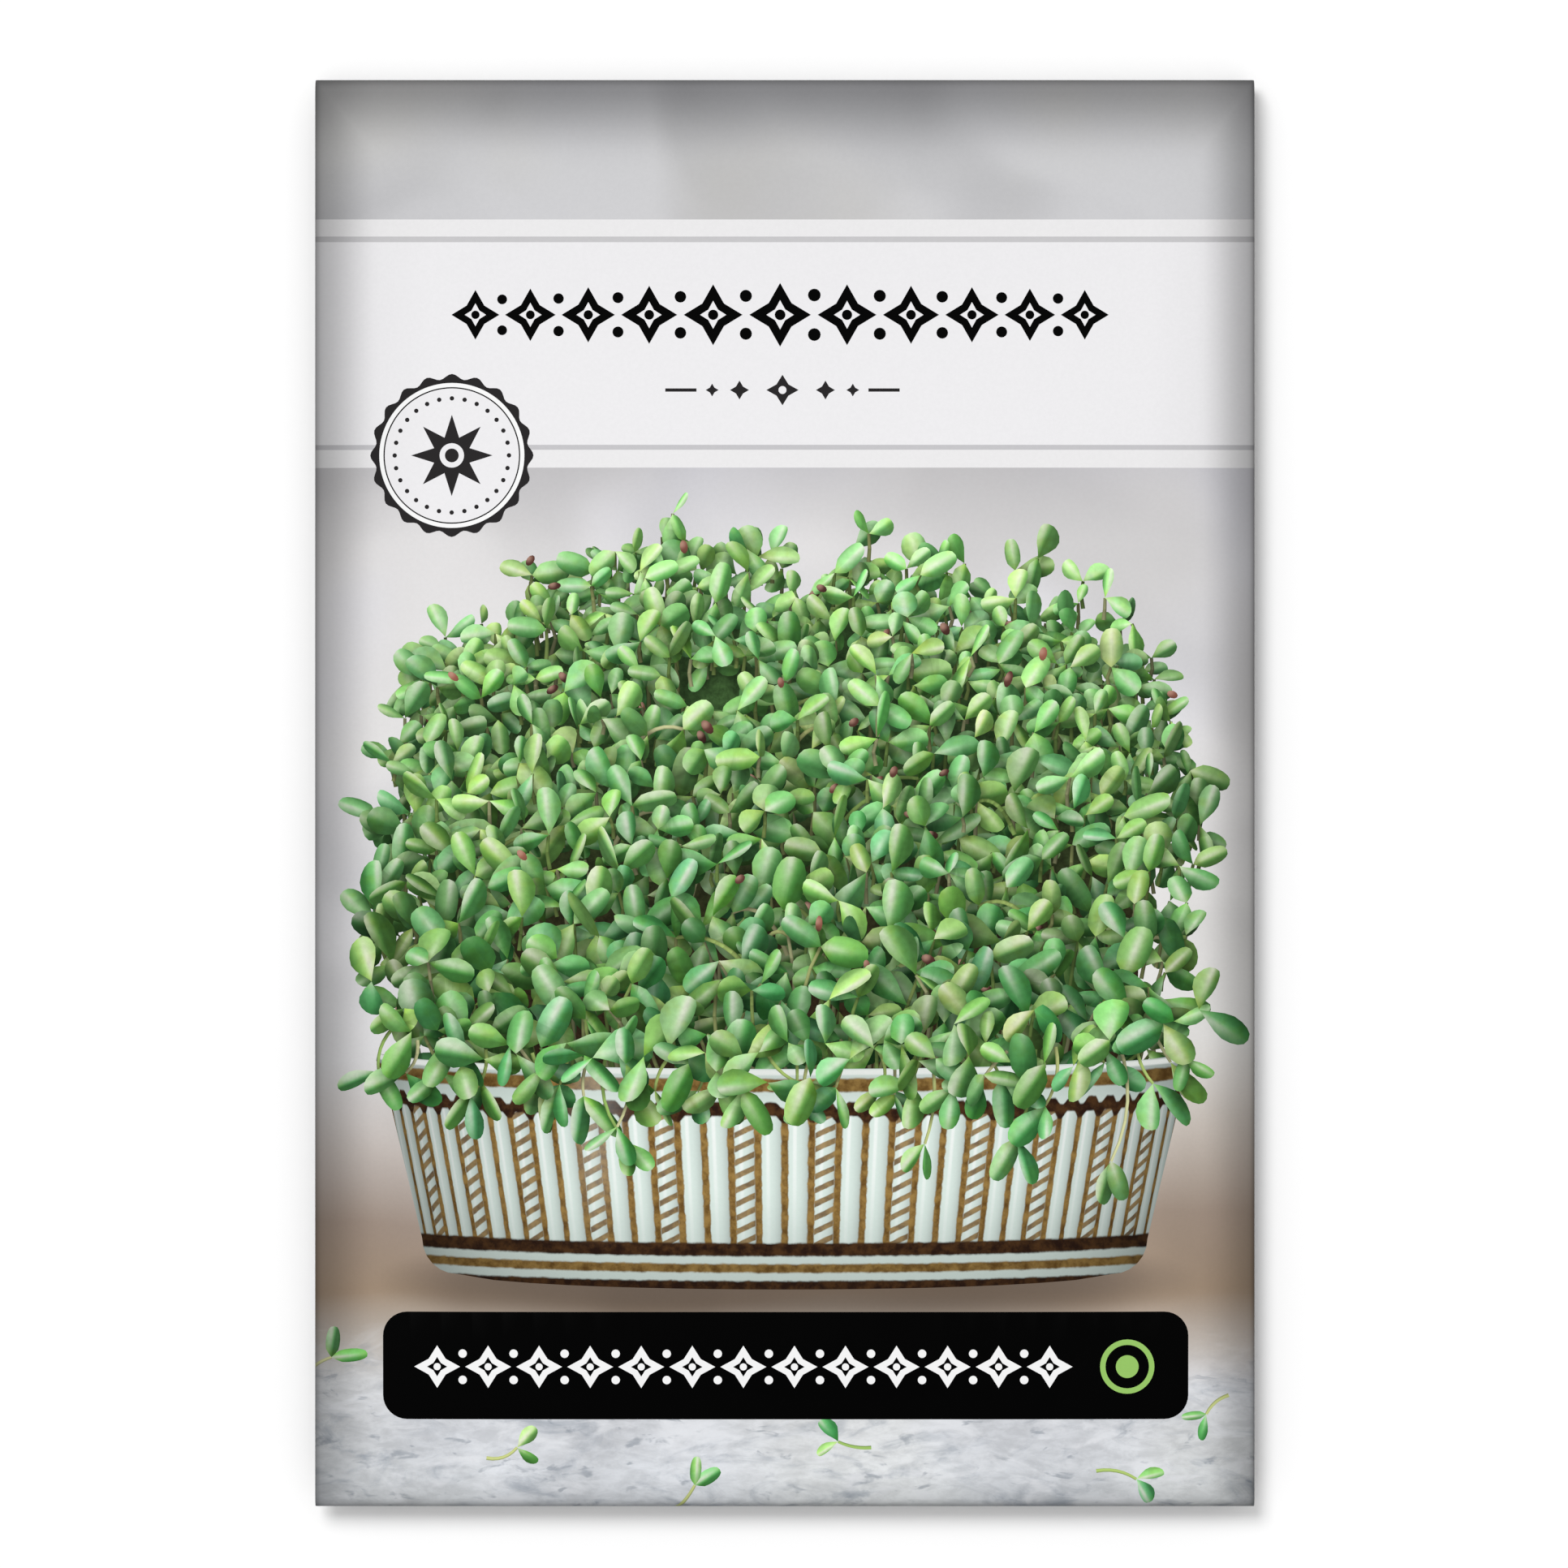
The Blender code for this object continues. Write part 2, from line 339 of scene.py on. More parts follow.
def addShape(shapes, outline, kind, tone, base=(0, 0), across=(1, 0), along=(0, 1),
             light=(0, 0, 0), gloss=(0, 0, 0)):
    # shapes are laid in order, each over the ones before it
    points = np.asarray(outline, dtype=float)[:, :2]
    nextPoints = np.roll(points, -1, axis=0)
    area = 0.5 * np.sum(points[:, 0] * nextPoints[:, 1] - nextPoints[:, 0] * points[:, 1])
    if abs(area) < sheet["speck"]:
        return
    if area < 0:
        points = points[::-1]
    shapes.append({"outline": points, "kind": kinds[kind], "tone": tone, "base": base,
                   "across": across, "along": along, "light": light, "gloss": gloss})


def addPieces(shapes, pieces, kind):
    for piece in pieces:
        addShape(shapes, kind=kind, **piece)


# Printed motifs are laid by Geometry Nodes: one flat outline on each point of a plan.

def motifOutline(name, points):
    return addObject(name, plainMesh(name, [(x, y, 0) for x, y in points], [list(range(len(points)))]))


def leafPoints(steps, fullest, neck, blunt, bend=0.0):
    # a leaf of length 1 and width 1: fullest sets where it is widest, neck how long its narrow foot is
    right, left = [], []
    for i in range(1, steps):
        t = (1 - math.cos(math.pi * i / steps)) / 2
        half = 0.515 * math.sin(math.pi * t ** fullest) ** blunt * min(1.0, t / neck) ** 0.6
        middle = bend * 4 * t * (1 - t)
        right.append((middle + half, t))
        left.append((middle - half, t))
    return [(0.0, 0.0)] + right + [(0.0, 1.0)] + left[::-1]


def layMotifTree():
    tree = bpy.data.node_groups.new("layMotifs", "GeometryNodeTree")
    current["tree"] = tree
    for name, kind in (("Geometry", "Geometry"), ("Motif", "Object"), ("Smallest", "Float"),
                       ("Largest", "Float"), ("Seed", "Int"), ("Finish", "Material")):
        tree.interface.new_socket(name, in_out="INPUT", socket_type="NodeSocket" + kind)
    tree.interface.new_socket("Geometry", in_out="OUTPUT", socket_type="NodeSocketGeometry")
    points, motif, smallest, largest, seed, finish = (
        Wire(socket) for socket in addNode("NodeGroupInput").outputs[:6])
    turn, size = (
        wire("GeometryNodeInputNamedAttribute", {"Name": name}, "Attribute", data_type="FLOAT_VECTOR")
        for name in ("turn", "size"))
    vary = wire("FunctionNodeRandomValue", {2: smallest, 3: largest, "Seed": seed}, 1, data_type="FLOAT")
    shape = wire("GeometryNodeObjectInfo", {"Object": motif}, "Geometry")
    laid = wire("GeometryNodeInstanceOnPoints",
                {"Points": points, "Instance": shape, "Rotation": turn, "Scale": scaled(size, vary)})
    whole = wire("GeometryNodeRealizeInstances", {"Geometry": laid})
    finished = wire("GeometryNodeSetMaterial", {"Geometry": whole, "Material": finish})
    addNode("NodeGroupOutput", {"Geometry": finished})
    return tree


motifTree = layMotifTree()


def layMotifs(motif, plan, smallest, largest, seed, finish=None):
    # plan: a list of (place, turn, size); gives the finished mesh, whose points carry their plan's number
    points = plainMesh("plan", [tuple(entry[0]) for entry in plan])
    for name, column in (("turn", 1), ("size", 2)):
        values = points.attributes.new(name, "FLOAT_VECTOR", "POINT")
        values.data.foreach_set("vector", [c for entry in plan for c in entry[column]])
    number = points.attributes.new("number", "INT", "POINT")
    number.data.foreach_set("value", list(range(len(plan))))
    obj = addObject("plan", points)
    lay = obj.modifiers.new("lay", "NODES")
    lay.node_group = motifTree
    values = {"Motif": motif, "Smallest": smallest, "Largest": largest, "Seed": seed, "Finish": finish}
    for item in motifTree.interface.items_tree:
        if item.in_out == "INPUT" and item.name in values:
            lay[item.identifier] = values[item.name]
    laid = finishedMesh(obj)
    dropObject(obj)
    return laid


def readMotifs(laid, count):
    # each laid outline's points and its plan's number, for outlines of count points
    spots = np.empty(len(laid.vertices) * 3)
    laid.vertices.foreach_get("co", spots)
    numbers = np.empty(len(laid.vertices), dtype=int)
    laid.attributes["number"].data.foreach_get("value", numbers)
    corners = np.empty(len(laid.loops), dtype=int)
    laid.loops.foreach_get("vertex_index", corners)
    corners = corners.reshape(-1, count)
    return spots.reshape(-1, 3)[corners][:, :, :2], numbers[corners[:, 0]]


print("motif tree ready")

# The picture on the front: a fluted trough of sprouts on a pale stone table.

sprouts = {
    "rows": 23,
    "perRow": 35,
    "halfSpan": 30.5,
    "bulge": 4.6,  # how far the sides swell out over the trough's ends
    "backTips": 40.6,  # from the packet's top edge
    "frontTips": 81.0,
    "soil": 85.5,
    "moundDrop": 15.0,
    "tipScatter": 1.5,
    "footScatter": 1.6,
    "bendScatter": 1.3,
    "stemShows": 0.80,  # stems are drawn whole from here to the front, and only their tops behind
    "stemWidth": 0.36,
    "leafLength": (3.2, 5.0),
    "leafSlim": (0.45, 0.62),
    "farSize": 0.66,  # the back row's leaves, with 1 for the front row's
    "farBright": 1.56,
    "frontDim": 0.70,  # how much less bright the front row is than the back row
    "farHaze": 0.42,
    "facing": (0.46, 0.44),  # how much the leaves tilt away from the viewer, sideways and up or down
    "edgeOn": 0.12,  # the share of leaves that stand nearly edge-on
    "broadLeaves": 0.08,
    "hulls": 0.07,
    "arching": 0.05,
    "seed": 11,
}
sproutLight = Vector((-0.42, 0.66, 0.62)).normalized()
sproutGloss = (sproutLight + Vector((0, 0, 1))).normalized()
leafTones = inkSet("84da80 98e172 b3e97a c6f08c 80d890 a9e696 72ce7c")
stemTones = inkSet("cfd88e b6d078 dcdda6 a2c66c")
hullTones = inkSet("5f3c34 4d302a 7c4d42 96604f")
shadeTone, hazeTone = inkSet("22361a 9cc082")

leafSteps = 9
leafMotifs = {
    name: motifOutline(name + "Leaf", leafPoints(leafSteps, *form))
    for name, form in (
        ("spoon", (1.34, 0.52, 0.38)),
        ("oblong", (1.08, 0.22, 0.34)),
        ("bentLeft", (1.26, 0.48, 0.37, -0.20)),
        ("bentRight", (1.26, 0.48, 0.37, 0.20)),
        ("broad", (1.12, 0.28, 0.42)),
    )
}
slimLeaves = ("spoon", "spoon", "oblong", "oblong", "bentLeft", "bentRight")


def planLeaf(rng, spot, heading, length, slim, lit, front):
    # a leaf's own axes on the print, and the light as it falls on them
    wideX, wideY = sprouts["facing"]
    normal = Vector((rng.gauss(0, wideX), 0.30 + rng.gauss(0, wideY), 1.0))
    if rng.random() < sprouts["edgeOn"]:
        normal += Vector((rng.choice((-1, 1)) * 1.4, rng.gauss(0, 0.6), 0))
    normal.normalize()
    along = Vector((math.cos(heading), math.sin(heading), 0))
    along = (along - normal * along.dot(normal)).normalized()
    axes = (along.cross(normal), along, normal)
    tone = blendInk(rng.choice(leafTones), rng.choice(leafTones), rng.random())
    tone = blendInk(shadeTone, tone, min(1.0, lit))
    tone = blendInk(hazeTone, tone, 1 - sprouts["farHaze"] * (1 - front))
    bright = sprouts["farBright"] - sprouts["frontDim"] * front ** 0.7
    tone = tuple(c * rng.uniform(0.90, 1.08) * bright for c in tone)
    return {
        "motif": "broad" if slim > 0.7 else rng.choice(slimLeaves),
        "spot": (spot[0], spot[1], 0.0),
        "turn": tuple(Matrix(axes).transposed().to_euler("XYZ")),
        "size": (length * slim, length, 1.0),
        "tone": tone,
        "light": tuple(axis.dot(sproutLight) for axis in axes),
        "gloss": tuple(axis.dot(sproutGloss) * (0.92 + 0.08 * lit) for axis in axes),
    }


def planPair(rng, tip, heading, size, lit, front):
    long, slim = sprouts["leafLength"], sprouts["leafSlim"]
    return [
        planLeaf(rng, tip, heading + side * rng.uniform(1.5, math.pi), size * rng.uniform(*long),
                 rng.uniform(*slim), lit, front)
        for side in (0, 1)
    ]


def stemShapes(start, control, end, width, steps, tone):
    # a thin round stem on a bent path, as short pieces end to end
    p0, p1, p2 = Vector(start), Vector(control), Vector(end)
    spine = [(1 - t) ** 2 * p0 + 2 * t * (1 - t) * p1 + t * t * p2 for t in spread(0.0, 1.0, steps)]
    sides = []
    for i in range(steps + 1):
        run = (spine[min(i + 1, steps)] - spine[max(i - 1, 0)]).normalized()
        sides.append(Vector((run.y, -run.x)) * (width * (0.5 - 0.12 * i / steps)))
    return [
        {"outline": [a + sa, b + sb, b - sb, a - sa], "tone": tone,
         "base": a, "across": (sa + sb) / 2, "along": b - a}
        for a, b, sa, sb in zip(spine, spine[1:], sides, sides[1:])
    ]


def skyline(x):
    # how far the tops of the back row lie below their highest line
    wave = 0.9 * math.sin(x * 0.115 + 0.7) + 0.7 * math.sin(x * 0.31 + 2.0) + 0.5 * math.sin(x * 0.71)
    return sprouts["moundDrop"] * abs(x / 36) ** 2.5 + wave


def growStem(rng, x, front, lit):
    # a stem and its tip
    top = sprouts["backTips"] + (sprouts["frontTips"] - sprouts["backTips"]) * front ** 1.12
    top += skyline(x) * (1 - 0.75 * front) + rng.gauss(0, sprouts["tipScatter"])
    tip = Vector(place(x + halfWide, min(top, sprouts["soil"] - 1.5)))
    foot = Vector(place((x - rng.gauss(0, sprouts["footScatter"])) * 0.93 + halfWide,
                        sprouts["soil"] - 3.5 * (1 - front)))
    foot.y = min(foot.y, tip.y - 3)
    bendX = (tip.x + foot.x) / 2 + rng.gauss(0, sprouts["bendScatter"])
    bend = Vector((bendX, tip.y - 0.35 * (tip.y - foot.y)))
    steps = 5
    if front < sprouts["stemShows"]:
        foot = tip + (foot - tip).normalized() * rng.uniform(1.2, 3.0)
        bend = tip.lerp(foot, 0.5) + Vector((rng.gauss(0, 0.25), 0))
        steps = 2
    tone = blendInk(shadeTone, rng.choice(stemTones), (0.2 + 0.5 * lit) * (0.7 + 0.3 * front))
    return tip, stemShapes(foot, bend, tip, sprouts["stemWidth"], steps, tone)


def archStem(rng, tip, inwards):
    # a pale stem that arches over its neighbours, either way or, near the mound's sides, inwards
    lean = rng.choice((-1, 1)) * rng.uniform(3.0, 6.5)
    if inwards:
        lean = math.copysign(lean, inwards)
    foot = tip + Vector((lean, -rng.uniform(2.0, 5.0)))
    bend = tip + Vector((lean * 0.6, rng.uniform(0.3, 1.6)))
    tone = blendInk(shadeTone, rng.choice(stemTones), 0.9)
    return stemShapes(foot, bend, tip, sprouts["stemWidth"] * 1.1, 8, tone)


def growSprouts():
    # every stem, leaf and seed hull, row by row from the back of the trough to its front
    rng = random.Random(sprouts["seed"])
    grown = {"leaf": [], "stem": [], "hull": []}
    paint = []

    def add(kind, entries):
        for entry in entries:
            paint.append((kind, len(grown[kind])))
            grown[kind].append(entry)

    for row in range(sprouts["rows"]):
        front = row / (sprouts["rows"] - 1)
        reach = sprouts["halfSpan"] + sprouts["bulge"] * math.sin(math.pi * front ** 0.8)
        size = sprouts["farSize"] + (1 - sprouts["farSize"]) * front
        count = round(sprouts["perRow"] / size)
        order = list(range(count))
        rng.shuffle(order)
        for rank, column in enumerate(order):
            x = reach * (2 * (column + rng.random()) / count - 1)
            lit = (0.34 + 0.66 * (rank / count) ** 0.8) * (1 - 0.25 * abs(x / reach) ** 5)
            tip, stem = growStem(rng, x, front, lit)
            add("stem", [stem])
            if rng.random() < sprouts["arching"] and 0.2 < front < 0.92:
                add("stem", [archStem(rng, tip, -x if abs(x) > 0.7 * reach else 0)])
            add("leaf", planPair(rng, tip, rng.uniform(0, math.tau), size, lit, front))
            if rng.random() < sprouts["broadLeaves"]:
                heading = rng.uniform(0.4, 2.7)
                add("leaf", [planLeaf(rng, tip, heading, rng.uniform(2.0, 2.8), 0.80, lit, front)])
            if rng.random() < sprouts["hulls"]:  # a hull still caught on the leaf's tip
                add("hull", [(len(grown["leaf"]) - 1, rng.gauss(0, 0.3), rng.uniform(0.55, 0.75),
                              rng.uniform(1.0, 1.35), rng.choice(hullTones))])
    return grown, paint


def leafShapes(leaves):
    # laid outlines with their own axes, in the leaves' order
    shapes = {}
    halfway = leafSteps // 2
    for name, motif in leafMotifs.items():
        numbers = [i for i, leaf in enumerate(leaves) if leaf["motif"] == name]
        if not numbers:
            continue
        plan = [(leaves[i]["spot"], leaves[i]["turn"], leaves[i]["size"]) for i in numbers]
        outlines, planNumbers = readMotifs(layMotifs(motif, plan, 0.88, 1.12, sprouts["seed"]), 2 * leafSteps)
        wide = motif.data.vertices[halfway].co.x - motif.data.vertices[2 * leafSteps - halfway].co.x
        for flat, planNumber in zip(outlines, planNumbers):
            leaf = leaves[numbers[planNumber]]
            shapes[numbers[planNumber]] = {
                "outline": flat, "tone": leaf["tone"], "base": flat[0],
                "across": (flat[halfway] - flat[-halfway]) / 2 / wide, "along": flat[leafSteps] - flat[0],
                "light": leaf["light"], "gloss": leaf["gloss"],
            }
    return [shapes[i] for i in range(len(leaves))]


def hullShapes(hulls, laidLeaves):
    shapes, plan = {}, []
    for leafNumber, turn, wide, high, _ in hulls:
        outline = laidLeaves[leafNumber]["outline"]
        tip, along = outline[leafSteps], outline[leafSteps] - outline[0]
        spot = tip - 0.45 * along / np.linalg.norm(along)
        heading = math.atan2(along[1], along[0]) - quarter + turn
        plan.append(((spot[0], spot[1], 0), (0, 0, heading), (wide, high, 1)))
    sides = 10
    oval = motifOutline("hullOutline", roundPoints((0, 0.5), 0.5, sides))
    outlines, numbers = readMotifs(layMotifs(oval, plan, 0.85, 1.15, 5), sides)
    dropObject(oval)
    for flat, number in zip(outlines, numbers):
        middle = flat.mean(axis=0)
        shapes[number] = {"outline": flat, "tone": hulls[number][4], "base": middle,
                          "across": flat[0] - middle, "along": flat[sides // 2] - middle}
    return shapes


trough = {
    "rimTop": 83.6,
    "rimHalf": 34.4,
    "footHalf": 30.6,
    "bottom": 102.2,
    "corner": 3.0,
    "waist": ((0.1, 0.6), (-0.5, 1.7)),  # the sides just below the rim: past the rim's half width, below it
    "sag": 1.5,  # how far the rim and the foot curve down in the middle
    "flutes": 15.0,
    "rungs": 16.0,
}


def sagAt(s, sag):
    # how far a bowed line lies above its middle, at s from -1 to 1 along it
    return sag * (math.sqrt(1 - 0.98 * s * s) - 1)


def sagLine(half, top, sag):
    # a shallow bow from left to right
    return [place(halfWide + half * s, top + sagAt(s, sag)) for s in spread(-1.0, 1.0, 18)]


def layTrough(shapes):
    rim, foot, sag, corner = trough["rimTop"], trough["bottom"], trough["sag"], trough["corner"]
    side = [(trough["rimHalf"] + x, rim + t) for x, t in trough["waist"]]
    turning = (trough["footHalf"] - corner, foot - corner)
    side += [onCircle(turning, corner, angle) for angle in spread(0.0, quarter, 6)]
    lift = sagAt(1.0, sag)
    outline = sagLine(trough["rimHalf"], rim, sag)
    outline += [place(halfWide + x, t + lift) for x, t in side]
    outline += sagLine(trough["footHalf"] - corner, foot, sag)[::-1][1:-1]
    outline += [place(halfWide - x, t + lift) for x, t in side[::-1]]
    addShape(shapes, outline, "trough", ink("d6e4dd"), place(halfWide, rim - sag),
             (trough["rimHalf"], 0), (0, rim - foot))


def layMass(shapes):
    # the shade among the stems, behind the leaves that show
    half = sprouts["halfSpan"]
    outline = [place(x + halfWide, sprouts["backTips"] + skyline(x) + 4.0) for x in spread(-half, half, 36)]
    outline += [place(halfWide + side * (half - 1), sprouts["soil"]) for side in (1, -1)]
    addShape(shapes, outline, "soil", ink("4a6c3c"), place(halfWide, sprouts["soil"]), (half, 0), (0, 40))


def laySprouts(shapes):
    grown, paint = growSprouts()
    leaves = leafShapes(grown["leaf"])
    hulls = hullShapes(grown["hull"], leaves)
    for kind, number in paint:
        if kind == "stem":
            addPieces(shapes, grown["stem"][number], kind)
        else:
            addPieces(shapes, [(leaves if kind == "leaf" else hulls)[number]], kind)
    print("sprouts:", len(leaves), "leaves,", len(grown["stem"]), "stems,", len(hulls), "hulls")


# fallen sprouts on the stone: from the left, from the top, where the stem leads, and size
tableSprouts = (
    (14.5, 116.5, (2.6, 0.9), 2.5),
    (47.0, 115.6, (-2.8, 0.5), 2.4),
    (66.0, 117.6, (3.4, -0.7), 2.3),
    (-0.8, 109.4, (2.2, 1.4), 2.8),
    (30.5, 120.9, (1.6, 2.1), 2.6),
    (77.2, 111.2, (-1.9, -1.6), 2.2),
)
overRim = {
    "heads": 34,
    "from": 5.5,  # from the packet's left edge
    "span": 68.5,
    "shortDrop": (2.0, 4.0),
    "longDrop": (4.5, 10.5),
    "shortShare": 0.66,
    "fringe": 46,
    "seed": 29,
}
nearFront = 0.75  # where loose sprouts and the fringe stand, with 1 for the front row


def looseSprout(shapes, rng, spot, reach, size, lit=1.0):
    # one sprout by itself: a thin stem and its two leaves
    start, end = Vector(spot), Vector(spot) + Vector(reach)
    bend = (start + end) / 2 + Vector((-reach[1], reach[0])) * rng.uniform(-0.3, 0.3)
    tone = stemTones[rng.randrange(4)]
    addPieces(shapes, stemShapes(start, bend, end, sprouts["stemWidth"] * 0.9, 6, tone), "stem")
    heading = math.atan2(reach[1], reach[0])
    leaves = [planLeaf(rng, end, heading + side * rng.uniform(0.25, 0.95), size * rng.uniform(0.85, 1.1),
                       rng.uniform(0.40, 0.52), lit, nearFront) for side in (-1, 1)]
    addPieces(shapes, leafShapes(leaves), "leaf")


def layOverRim(shapes):
    # heads that hang over the rim, then a fringe of leaves in front of their stems
    rng = random.Random(overRim["seed"])
    count = overRim["heads"]
    for i in range(count):
        x = overRim["from"] + overRim["span"] * (i + rng.uniform(0.0, 1.0)) / count
        s = (x - halfWide) / trough["rimHalf"]
        edge = trough["rimTop"] + sagAt(min(1.0, abs(s)), trough["sag"]) - 5.0 * max(0.0, abs(s) - 0.85)
        drop = rng.uniform(*overRim["shortDrop" if rng.random() < overRim["shortShare"] else "longDrop"])
        looseSprout(shapes, rng, place(x, edge + rng.uniform(-2.2, -0.8)), (rng.gauss(0, 1.3), -drop),
                    rng.uniform(3.0, 4.4), rng.uniform(0.75, 1.0))
    leaves, count = [], overRim["fringe"]
    for i in range(count):
        s = 2 * (i + rng.random()) / count - 1
        edge = trough["rimTop"] + sagAt(s, trough["sag"]) - 1.2 + rng.gauss(0, 0.9) - 3.0 * abs(s) ** 6
        tip = Vector(place(halfWide + s * (trough["rimHalf"] + 0.6), edge))
        leaves += planPair(rng, tip, rng.uniform(0, math.tau), 0.95, rng.uniform(0.55, 1.0), nearFront)
    addPieces(shapes, leafShapes(leaves), "leaf")


def layTableSprouts(shapes):
    rng = random.Random(31)
    for left, top, reach, size in tableSprouts:
        looseSprout(shapes, rng, place(left, top), reach, size)


# Bands, rules, chains of lozenges, seal and bar.

layout = {
    "upperBand": (11.87, 13.31),  # from the packet's top edge
    "upperRule": (13.31, 13.79),
    "palePanel": (13.79, 30.94),
    "lowerRule": (30.94, 31.36),
    "lowerBand": (31.36, 32.87),
    "bleed": 3.0,
    "chain": (39.3, 19.93, 56.0, 5.4),  # middle from the left, middle from the top, length, height
    "shortChain": (39.5, 26.3, 16.5, 2.6),
    "seal": (11.58, 31.83, 6.90),
    "sealScallops": 20,
    "sealDots": 28,
    "bar": (5.77, 104.1, 73.77, 113.2),
    "barCorner": 2.05,
    "barOrnament": (36.2, 108.75, 56.0, 3.6),
    "barRing": (68.6, 108.75, 2.3),
}
inks = {
    "band": "eeedee",
    "panel": "f0eff1",
    "ruleDark": "cbcacc",
    "rule": "c8c7ca",
    "black": "000000",
    "soft": "2a2829",
    "white": "fbfbfb",
    "lime": "9ccb6b",
}


def layFlat(shapes, outline, tone):
    addShape(shapes, outline, "flat", ink(inks[tone]))


def layRounds(shapes, center, radius, rounds):
    # discs one over the other: the size of each as a share of the radius, its sides and its ink
    for size, sides, tone in rounds:
        layFlat(shapes, roundPoints(center, radius * size, sides), tone)


def lozenge(center, width, height):
    x, y = center
    inward = 0.37  # where the middle of a curved side lies, from the center
    points = []
    for sx, sy in ((1, 1), (-1, 1), (-1, -1), (1, -1)):
        points.append((x + sx * width / 2, y) if sx * sy > 0 else (x, y + sy * height / 2))
        points.append((x + sx * width / 2 * inward, y + sy * height / 2 * inward))
    return points


def layOrnament(shapes, box, tone, paper, count, taper):
    # a row of lozenges with two beads between each two, smaller towards both ends
    middleLeft, middleTop, length, height = box
    sizes = [1 - taper * abs(2 * i / (count - 1) - 1) for i in range(count)]
    pitch = length / sum(sizes)
    edge = middleLeft - length / 2
    for i, size in enumerate(sizes):
        center = place(edge + pitch * size / 2, middleTop)
        layFlat(shapes, lozenge(center, pitch * size * 0.90, height * size), tone)
        layFlat(shapes, lozenge(center, pitch * size * 0.40, height * size * 0.46), paper)
        layRounds(shapes, center, height * size, ((0.085, 14, tone),))
        edge += pitch * size
        if i < count - 1:
            x, y = place(edge, middleTop)
            for rise in (-1, 1):
                layRounds(shapes, (x, y + rise * height * size * 0.31), height * size, ((0.10, 16, tone),))


def layShortChain(shapes):
    left, top, length, height = layout["shortChain"]
    for side in (-1, 1):
        for step, size in ((0.22, 0.62), (0.36, 0.42)):
            center = place(left + side * length * step, top)
            layFlat(shapes, lozenge(center, height * size, height * size), "soft")
        near, far = left + side * length * 0.44, left + side * length * 0.60
        layFlat(shapes, rectangle(min(near, far), top - 0.14, max(near, far), top + 0.14), "soft")
    layFlat(shapes, lozenge(place(left, top), height * 1.05, height), "soft")
    layRounds(shapes, place(left, top), height, ((0.13, 16, "panel"),))


def laySeal(shapes):
    left, top, radius = layout["seal"]
    center = place(left, top)
    count = layout["sealScallops"]
    edge = []
    for i in range(count * 8):
        angle = math.tau * i / (count * 8)
        edge.append(onCircle(center, radius * (0.968 + 0.032 * math.cos(angle * count)), angle))
    layFlat(shapes, edge, "soft")
    layRounds(shapes, center, radius, ((0.889, 96, "white"), (0.838, 96, "black"), (0.822, 96, "panel")))
    for spot in roundPoints(center, radius * 0.70, layout["sealDots"]):
        layRounds(shapes, spot, radius, ((0.028, 10, "soft"),))
    reaches = (radius * 0.50, radius * 0.235)
    star = [onCircle(center, reaches[i % 2], math.tau * i / 16 + quarter) for i in range(16)]
    layFlat(shapes, star, "soft")
    layRounds(shapes, center, radius, ((0.15, 28, "panel"), (0.085, 24, "soft")))


def layBar(shapes):
    left, top, right, bottom = layout["bar"]
    corner = layout["barCorner"]
    outline = []
    for cx, cy, start in ((right - corner, top + corner, 0), (left + corner, top + corner, 90),
                          (left + corner, bottom - corner, 180), (right - corner, bottom - corner, 270)):
        outline += [onCircle(place(cx, cy), corner, math.radians(a)) for a in spread(start, start + 90, 8)]
    layFlat(shapes, outline, "black")
    layOrnament(shapes, layout["barOrnament"], "white", "black", 13, 0.0)
    ringLeft, ringTop, radius = layout["barRing"]
    rings = ((1.0, 40, "lime"), (0.80, 40, "black"), (0.42, 40, "lime"))
    layRounds(shapes, place(ringLeft, ringTop), radius, rings)


def layBands(shapes):
    for name, tone in (("palePanel", "panel"), ("upperBand", "band"), ("lowerBand", "band"),
                       ("upperRule", "ruleDark"), ("lowerRule", "rule")):
        top, bottom = layout[name]
        layFlat(shapes, rectangle(-layout["bleed"], top, packetWidth + layout["bleed"], bottom), tone)
    layOrnament(shapes, layout["chain"], "black", "panel", 11, 0.22)
    layShortChain(shapes)


def printShapes():
    shapes = []
    for lay in (layMass, laySprouts, layTrough, layOverRim, layTableSprouts, layBands, laySeal, layBar):
        lay(shapes)
    print("front print:", len(shapes), "shapes")
    return shapes


# The print becomes one flat mesh: overlapping shapes are cut so that only the top one is left.

sheet = {
    "speck": 0.004,  # shapes of a smaller area than this are left out
    "pitch": 2.6,  # grid that lets the flat mesh follow the swell
    "insidePitch": 5.0,
    "foldSteps": 4,
    "merge": 2e-5,
    "shadeDepth": 0.74,
    "shadeCell": 0.16,
    "shadeFrom": 36.0,  # contact shade is worked out between these heights, from the packet's top edge
    "shadeTo": 96.0,
    "shadeReach": (0.4, 0.95, 1.7),
    "shadeTurns": 12,
    "shadeSide": math.radians(125),  # the side that the printed light comes from
}
edgeU = sideFlat + sideFold * quarter
edgeTop = headFlat + headFold * quarter
edgeFoot = footFlat + footFold * quarter


def flattenShapes(shapes):
    # all outlines cut against each other, and for each triangle the number of the shape on top
    border = ((-edgeU, -edgeFoot), (edgeU, -edgeFoot), (edgeU, edgeTop), (-edgeU, edgeTop))
    points, faces = [Vector(p) for p in border], [[0, 1, 2, 3]]
    for shape in shapes:
        first = len(points)
        points += [Vector(p) for p in shape["outline"]]
        faces.append(list(range(first, len(points))))
    spots, _, triangles, _, _, sources = delaunay_2d_cdt(points, [], faces, 1, sheet["merge"])
    return spots, triangles, [max(source) if 0 in source else -1 for source in sources]


